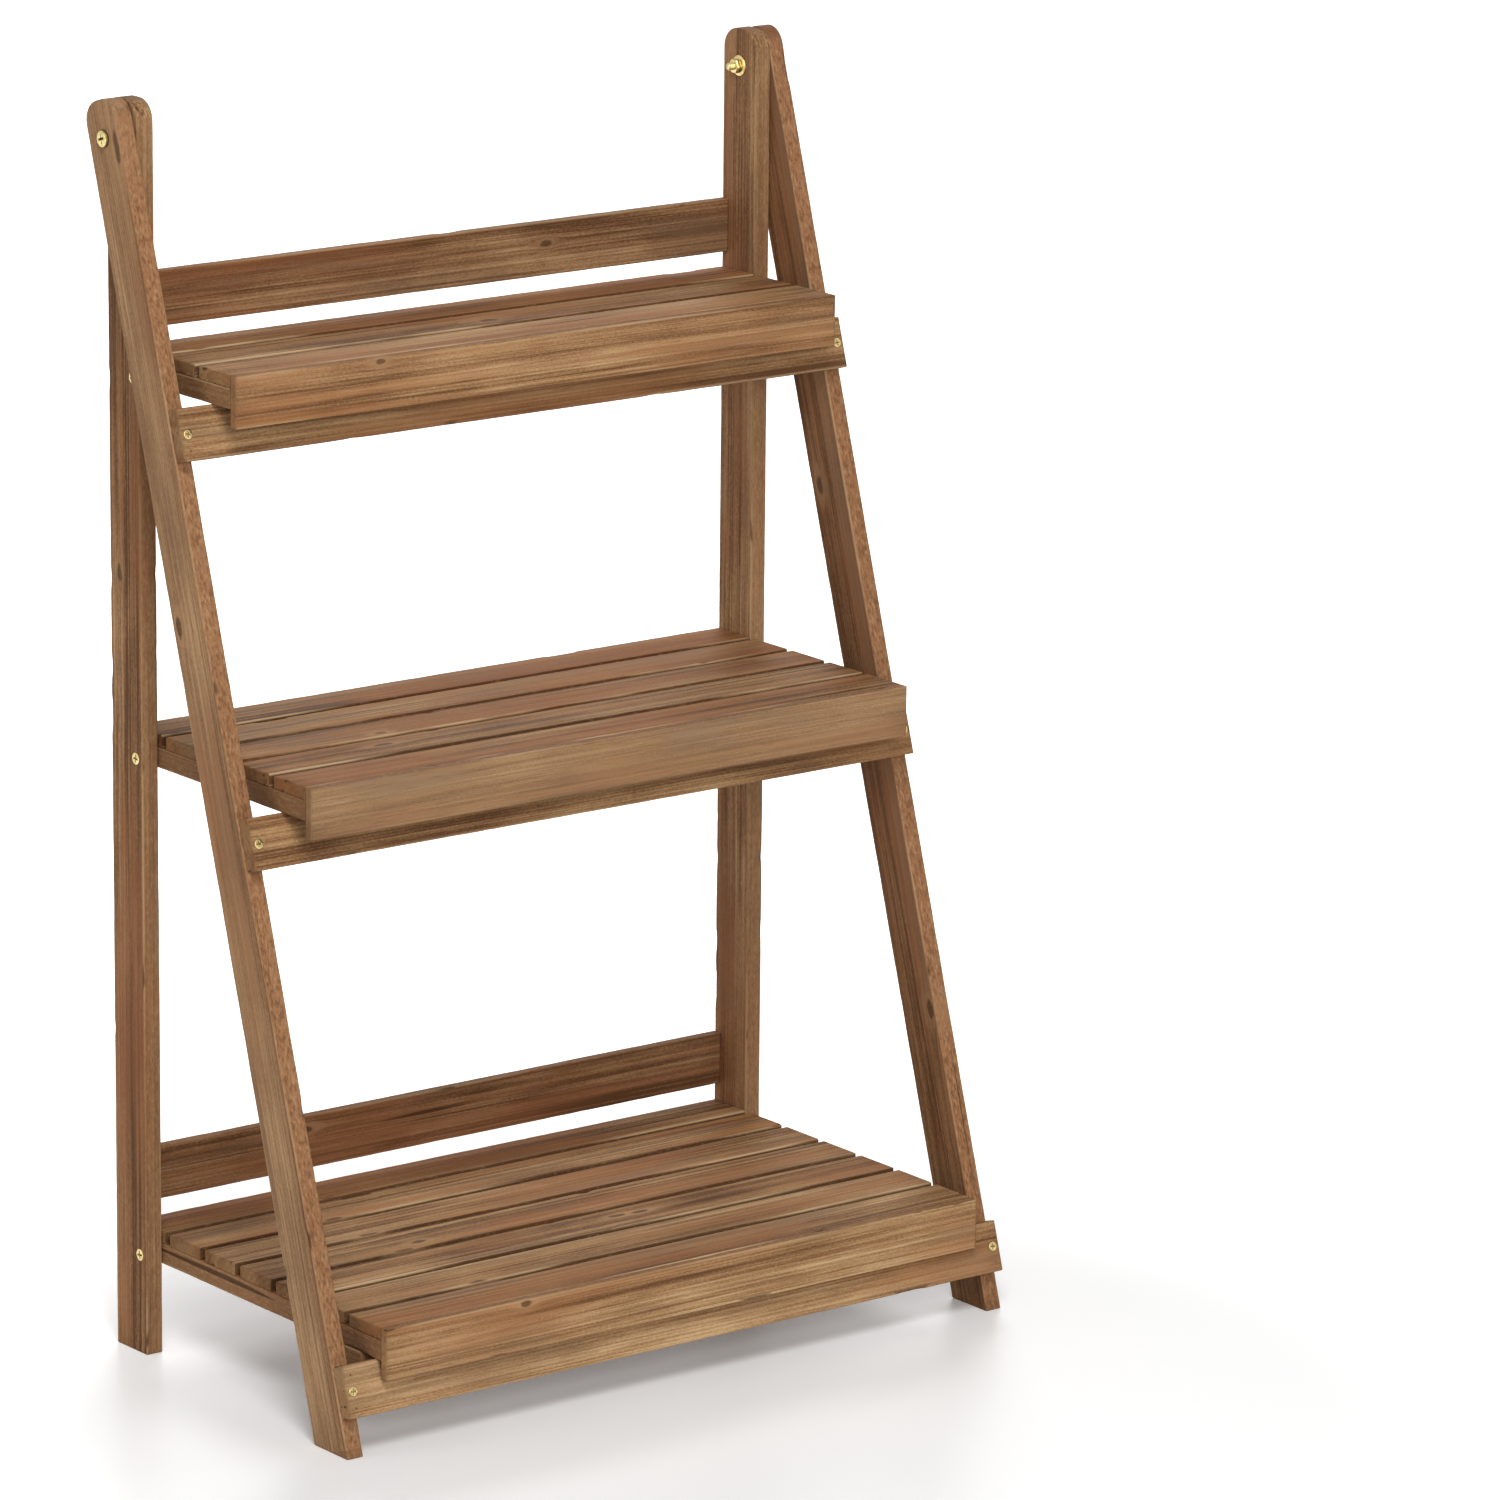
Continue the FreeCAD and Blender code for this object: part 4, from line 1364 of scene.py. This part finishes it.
@dataclass
class Shelf:
    """One slatted shelf: slats on three cleats, with a lip along the front.

    The cleats' seeds follow the lip's, one step apart, and the cleats are made darker as painted shade under
    the slats.
    """

    workshop: Workshop
    word: str
    slats: Sequence[Character]
    lip: Character
    cleats: tuple[str, ...] = ("left", "centre", "right")
    cleat_seed_step: float = 0.13
    # Painted shade: the cleats are darker, for the shade they lie in under the slats
    cleat_light: float = -0.4
    cleat_redness: float = 0.3

    def build(self) -> None:
        """Makes every piece of the shelf."""
        body = f"shelf_{self.word}"
        self.build_slats(body)
        fill_box = self.workshop.fill_box
        fill_box(f"{self.word}_lip", body, (AXIS_X, AXIS_Z), self.lip, Wood.LIP, Slot.LIP)
        for number, word in enumerate(self.cleats, 1):
            seed = self.lip.seed + self.cleat_seed_step * number
            character = Character(seed, self.cleat_light, self.cleat_redness)
            fill_box(f"{self.word}_cleat_{word}", body, (AXIS_Y, AXIS_X), character, Wood.REAR)
        self.workshop.drive_brads(f"{self.word}_brad_heads", body, f"{self.word}_shelf_brads", -AXIS_Z)

    def build_slats(self, body: str) -> None:
        """Makes the row of slats."""
        nodes = [f"{self.word}_slat_{number}" for number in range(1, len(self.slats) + 1)]
        first = box_middle(nodes[0])
        board = Board(first, AXIS_X, AXIS_Y, tuple(box_sizes(nodes[0])))
        offsets = [box_middle(node) - first for node in nodes]
        piece = self.workshop.board_row(f"{self.word}_slats", board, offsets, self.slats, Wood.SLAT)
        self.workshop.keep(piece, body, nodes, Slot.SLAT)


@dataclass
class StopBlocks:
    """The two blocks under the bottom shelf that hold the bottom rail."""

    workshop: Workshop
    body: str = "shelf_bottom"
    seed: float = 0.35
    seed_step: float = 0.21
    light: float = 0.1
    redness: float = 0.1

    def build(self) -> None:
        """Makes both blocks and the heads of their brads."""
        for side in Side:
            character = Character(self.seed + self.seed_step * side.value, self.light, self.redness)
            node = f"stop_block_{side.word}"
            self.workshop.fill_box(node, self.body, (AXIS_Y, AXIS_X), character, Wood.REAR)
        self.workshop.drive_brads("stop_block_brad_heads", self.body, "stop_block_brads", -AXIS_Z)


@dataclass(frozen=True)
class Lamp:
    """A round soft lamp: its name, place and width in metres, and its power in watts."""

    name: str
    place: tuple[float, float, float]
    size: float
    power: float


@dataclass(frozen=True)
class Studio:
    """A white floor, soft light and the camera, in metres, degrees and watts."""

    camera_place: tuple[float, float, float] = (-3.4669, -4.7353, 1.9242)
    azimuth: float = -37.588
    elevation: float = 14.130
    roll: float = 0.586
    lens: float = 197.37
    sensor: float = 36.0
    sight: float = 200.0
    ambient: float = 0.23
    floor_glow: float = 0.1
    far_glow: float = 0.85
    glow_centre: tuple[float, float, float] = (0.0, -0.28, 0.0)
    glow_start: float = 0.38
    glow_end: float = 0.95
    floor_albedo: float = 0.94
    floor_roughness: float = 0.3
    floor_specular: float = 0.2
    floor_reach: float = 40.0
    lamps: tuple[Lamp, ...] = (
        Lamp("key", (-2.6, -3.6, 5.4), 2.6, 205.0),
        Lamp("fill", (-2.6, -6.6, 3.0), 2.8, 215.0),
        Lamp("left", (-4.4, 1.2, 1.5), 2.2, 26.0),
        Lamp("back", (2.6, 3.2, 3.6), 2.0, 80.0),
    )
    target: tuple[float, float, float] = (0.0, 0.0, 0.45)

    def build(self) -> None:
        """Sets the stage."""
        bpy.context.scene.view_settings.view_transform = "Standard"
        self.build_world()
        self.build_floor()
        self.build_lamps()
        self.build_camera()

    @staticmethod
    def seen(nodes: Nodes) -> Value:
        """1 for rays that show a surface in the picture, in metal or in glass, and 0 for light."""
        path = nodes.add("ShaderNodeLightPath")
        shown = path.math("MAXIMUM", path.out("Is Glossy Ray"))
        return shown.math("MAXIMUM", path.out("Is Transmission Ray"))

    def build_world(self) -> None:
        """An even white surround: full white where it is seen, softer as light."""
        world = bpy.data.worlds.new("studio")
        world.use_nodes = True
        bpy.context.scene.world = world
        nodes = Nodes(world.node_tree)
        strength = self.ambient + self.seen(nodes) * (1.0 - self.ambient)
        nodes.feed(world.node_tree.nodes["Background"], {"Color": WHITE, "Strength": strength})

    def build_floor(self) -> None:
        """A wide white floor that keeps the stand's shadow."""
        reach = self.floor_reach
        corners = np.array([(-reach, -reach, 0), (reach, -reach, 0), (reach, reach, 0), (-reach, reach, 0)])
        floor = new_object("floor", new_mesh("floor", corners, [(0, 1, 2, 3)]))
        material, nodes, shader = new_material("white_floor")
        place = nodes.add("ShaderNodeTexCoord").out("Object")
        away = nodes.vector_math("DISTANCE", {0: place, 1: self.glow_centre}, 1)
        rise = away.ramp(self.glow_start, self.glow_end) * (self.far_glow - self.floor_glow)
        white = nodes.mix(self.seen(nodes) * (self.floor_glow + rise), BLACK, WHITE)
        sockets = {
            "Base Color": (self.floor_albedo,) * 3,
            "Roughness": self.floor_roughness,
            "Specular IOR Level": self.floor_specular,
            "Emission Color": white,
            "Emission Strength": 1.0,
        }
        nodes.feed(shader, sockets)
        floor.data.materials.append(material)

    def build_lamps(self) -> None:
        """Soft lamps that all face the stand."""
        for lamp in self.lamps:
            light = bpy.data.lights.new(lamp.name, "AREA")
            light.shape = "DISK"
            light.size = lamp.size
            light.energy = lamp.power
            piece = bpy.data.objects.new(lamp.name, light)
            piece.location = lamp.place
            piece.rotation_mode = "QUATERNION"
            piece.rotation_quaternion = (Vector(self.target) - piece.location).to_track_quat("-Z", "Y")
            bpy.context.scene.collection.objects.link(piece)

    def build_camera(self) -> None:
        """The camera at the photograph's angle, with a long lens."""
        data = bpy.data.cameras.new("camera")
        data.lens = self.lens
        data.sensor_width = self.sensor
        data.clip_end = self.sight
        camera = bpy.data.objects.new("camera", data)
        turn, rise = math.radians(self.azimuth), math.radians(self.elevation)
        view = Vector((-math.sin(turn) * math.cos(rise), math.cos(turn) * math.cos(rise), -math.sin(rise)))
        camera.location = self.camera_place
        camera.rotation_mode = "QUATERNION"
        level = view.to_track_quat("-Z", "Y")
        camera.rotation_quaternion = level @ Quaternion((0, 0, 1), math.radians(self.roll))
        bpy.context.scene.collection.objects.link(camera)
        bpy.context.scene.camera = camera


FINISHES = {
    Wood.REAR: StainedWood(
        name=Wood.REAR.value,
        dark=(0.105, 0.047, 0.02),
        brown=(0.22, 0.112, 0.052),
        tan=(0.325, 0.185, 0.09),
        pale=(0.46, 0.29, 0.152),
        red=(0.255, 0.1, 0.042),
        grey=(0.225, 0.14, 0.08),
        edge=(0.27, 0.145, 0.068),
        edge_share=0.55,
        contrast=1.1,
        banding=1.3,
    ),
    Wood.FRONT: StainedWood(
        name=Wood.FRONT.value,
        dark=(0.105, 0.048, 0.021),
        brown=(0.22, 0.115, 0.055),
        tan=(0.32, 0.186, 0.094),
        pale=(0.46, 0.29, 0.155),
        red=(0.255, 0.105, 0.045),
        grey=(0.23, 0.145, 0.085),
        edge=(0.32, 0.152, 0.07),
        edge_share=0.75,
        fleck=0.65,
        contrast=0.8,
    ),
    Wood.SLAT: StainedWood(
        name=Wood.SLAT.value,
        dark=(0.1, 0.043, 0.018),
        brown=(0.265, 0.14, 0.06),
        tan=(0.405, 0.238, 0.108),
        pale=(0.58, 0.4, 0.22),
        red=(0.315, 0.122, 0.044),
        grey=(0.28, 0.178, 0.1),
        # Near black: painted shade in the gaps between the slats
        edge=(0.075, 0.032, 0.014),
        edge_share=0.8,
        fleck=0.2,
        contrast=0.95,
        fineness=0.7,
        worn_share=0.9,
    ),
    Wood.LIP: StainedWood(
        name=Wood.LIP.value,
        dark=(0.13, 0.06, 0.026),
        brown=(0.265, 0.138, 0.062),
        tan=(0.385, 0.225, 0.105),
        pale=(0.54, 0.36, 0.19),
        red=(0.315, 0.137, 0.055),
        grey=(0.29, 0.187, 0.107),
        edge=(0.2, 0.09, 0.04),
        fleck=0.4,
        contrast=1.05,
    ),
}
PLATING = PlatedSteel(
    name="yellow_plating",
    bright=(0.68, 0.55, 0.25),
    cloudy=(0.42, 0.31, 0.11),
    recess=(0.05, 0.03, 0.01),
)
BRAD_STEEL = PlatedSteel(
    name="stained_brads",
    bright=(0.16, 0.08, 0.036),
    cloudy=(0.09, 0.045, 0.02),
    recess=(0.05, 0.03, 0.01),
    metallic=0.3,
    roughness=0.5,
)
REAR_LEGS = {
    Side.LEFT: Character(0.11, 0.05, 0.1, (Knot(0.12, 0.008, 3 * MM),)),
    Side.RIGHT: Character(0.19, 0.36, 0.2, (Knot(-0.08, -0.006, 4 * MM),)),
}
BACK_RAILS = {
    "upper": Character(0.39, -0.15, 0.4, (Knot(0.1, 0.004, 2.5 * MM),)),
    "lower": Character(0.56, -0.18, 0.4, (Knot(-0.12, 0.01, 3 * MM),)),
}
FRONT_LEGS = {
    Side.LEFT: Character(0.66, 0.45, -0.2, (Knot(0.11, 0.012, 4 * MM), Knot(0.453, -0.0145, 3 * MM, 4.6))),
    # Painted shade: the right leg is made darker, standing for the shade on its inner face
    Side.RIGHT: Character(0.74, -0.5, 0.2, (Knot(0.14, 0.01, 3.5 * MM), Knot(-0.265, -0.015, 4 * MM))),
}
FRONT_RAILS = {
    "top": Character(0.83, 0.1, 0.0),
    "middle": Character(0.87, 0.1, 0.0),
    "bottom": Character(0.91, 0.2, 0.1),
}
EDGE_CHIP = Knot(-0.15, -0.0188, 2.6 * MM, 3.2)
KNOT_PAIR = (Knot(0.0275, 0.0044, 2.8 * MM, 2.8), Knot(0.0466, 0.0027, 3.0 * MM, 2.6))
SLATS = {
    "top": (
        Character(0.05, -0.1, 0.5),
        Character(0.21, 0.05, 0.3, (Knot(0.0, -0.006, 4 * MM),)),
        Character(0.34, 0.1, 0.2),
    ),
    "middle": (
        Character(0.08, -0.6, 0.8),
        Character(0.16, -0.45, 0.6),
        Character(0.47, -0.3, 0.3, (Knot(-0.135, -0.0127, 2.6 * MM),)),
        Character(0.59, -0.25, 0.2, (Knot(-0.1525, 0.0044, 3.0 * MM, 3.2),)),
        Character(0.72, -0.35, 0.3),
    ),
    "bottom": (
        Character(0.02, -0.25, 0.6),
        Character(0.14, -0.05, 0.3, (EDGE_CHIP,)),
        Character(0.31, 0.05, 0.2, (EDGE_CHIP,)),
        Character(0.44, 0.0, 0.2, (Knot(-0.13, -0.0084, 3.0 * MM), EDGE_CHIP)),
        Character(0.57, 0.1, 0.2, KNOT_PAIR),
        Character(0.69, 0.15, 0.0, (EDGE_CHIP,)),
        Character(0.81, -0.05, 0.3),
    ),
}
LIPS = {
    "top": Character(0.37, 0.1, 0.0, (Knot(-0.145, 0.016, 2.2 * MM),)),
    "middle": Character(0.63, -0.1, 0.1, greyness=0.4),
    "bottom": Character(0.95, 0.45, 0.0, (Knot(-0.147, 0.016, 2.4 * MM),)),
}


def main() -> None:
    """Builds the stand's sub-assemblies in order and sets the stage."""
    logging.basicConfig(level=logging.INFO, format="%(message)s")
    woods = {wood: finish.material() for wood, finish in FINISHES.items()}
    workshop = Workshop(woods, PLATING.material(), BRAD_STEEL.material())
    RearFrame(workshop).build()
    FrontFrame(workshop).build()
    for word, lip in LIPS.items():
        Shelf(workshop, word, SLATS[word], lip).build()
    StopBlocks(workshop).build()
    Studio().build()


if __name__ == "__main__":
    main()
